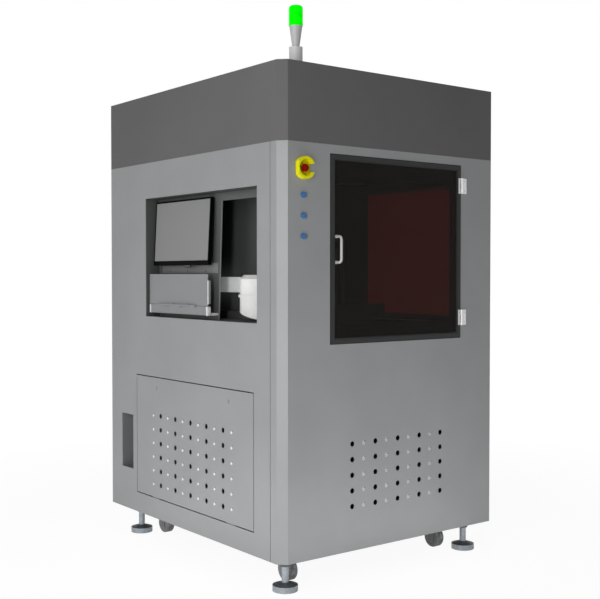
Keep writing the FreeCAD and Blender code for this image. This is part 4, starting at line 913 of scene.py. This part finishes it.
def seen_directly(tree):
    """1 for a ray from the camera, in a reflection or through glass, and 0 for light on its way round."""
    path = add(tree, "ShaderNodeLightPath")
    direct = add(tree, "ShaderNodeMath", {0: path.outputs["Is Camera Ray"],
                                          1: path.outputs["Is Glossy Ray"]}, operation="MAXIMUM")
    return add(tree, "ShaderNodeMath", {0: direct.outputs[0], 1: path.outputs["Is Transmission Ray"]},
               operation="MAXIMUM").outputs[0]


FLOOR_GLOW = 1.1
GLOW_NEAR = 0.85
GLOW_FAR = 1 / FLOOR_GLOW
NEAR = 1.5
FAR = 4.0
paper = add(floor_tree, "ShaderNodeTexNoise", {"Scale": 3.0})
paper_tint = add(floor_tree, "ShaderNodeValToRGB", {"Fac": paper.outputs["Fac"]},
                 stops=[(0.3, "#ececec"), (0.7, "#f2f2f2")])
add(floor_tree, floor_surface, {"Base Color": paper_tint.outputs["Color"], "Roughness": 0.9})
white = add(floor_tree, "ShaderNodeEmission", {"Color": (1, 1, 1, 1), "Strength": FLOOR_GLOW})
where = add(floor_tree, "ShaderNodeTexCoord").outputs["Object"]
away = add(floor_tree, "ShaderNodeVectorMath", {0: where}, operation="LENGTH")
reach = add(floor_tree, "ShaderNodeMapRange", {"Value": away.outputs["Value"], "From Min": NEAR,
                                               "From Max": FAR, "To Min": GLOW_NEAR, "To Max": GLOW_FAR})
share = add(floor_tree, "ShaderNodeMath", {0: seen_directly(floor_tree), 1: reach.outputs["Result"]},
            operation="MULTIPLY")
mixed = add(floor_tree, "ShaderNodeMixShader", {0: share.outputs[0], 1: floor_surface.outputs["BSDF"],
                                                2: white.outputs["Emission"]})
add(floor_tree, floor_tree.nodes["Material Output"], {"Surface": mixed.outputs["Shader"]})
floor_data.materials.append(floor_material)
print("floor", 2 * FLOOR_HALF, "m wide")

# %% World and lamps
WORLD_LIGHT = 0.18
world = bpy.data.worlds.new("studio")
bpy.context.scene.world = world
world.use_nodes = True
sky = world.node_tree
strength = add(sky, "ShaderNodeMapRange", {"Value": seen_directly(sky), "To Min": WORLD_LIGHT,
                                           "To Max": 1.0})
add(sky, sky.nodes["Background"], {"Color": (1, 1, 1, 1), "Strength": strength.outputs["Result"]})

LAMPS = {
    "left_panel_lamp": ((-5.0, -0.6, 1.3), (0, 0, 0.8), (2.3, 2.3), 42),
    "corner_strip_lamp": ((-2.6, -2.1, 1.25), (-0.5, -0.55, 1.25), (0.35, 2.6), 33),
    "floor_lamp_front": ((-0.1, -1.3, 0.02), (-0.1, -1.3, 1.0), (1.7, 1.0), 6.8),
    "floor_lamp_left": ((-1.25, 0.0, 0.02), (-1.25, 0.0, 1.0), (1.0, 1.8), 4.7),
    "niche_lamp": ((-0.955, -0.88, 1.14), (-0.405, -0.07, 1.135), (0.06, 0.06), 0.014),
}
NARROW = {"niche_lamp": math.radians(11)}
for name, (place, target, size, watts) in LAMPS.items():
    light = bpy.data.lights.new(name, "AREA")
    light.shape = "RECTANGLE"
    light.size = size[0]
    light.size_y = size[1]
    light.energy = watts
    light.spread = NARROW.get(name, math.pi)
    lamp = bpy.data.objects.new(name, light)
    lamp.location = place
    lamp.rotation_euler = (Vector(target) - Vector(place)).to_track_quat("-Z", "Y").to_euler()
    lamp.visible_camera = False
    bpy.context.scene.collection.objects.link(lamp)
print(len(LAMPS), "lamps")

bpy.context.scene.view_settings.view_transform = "Standard"
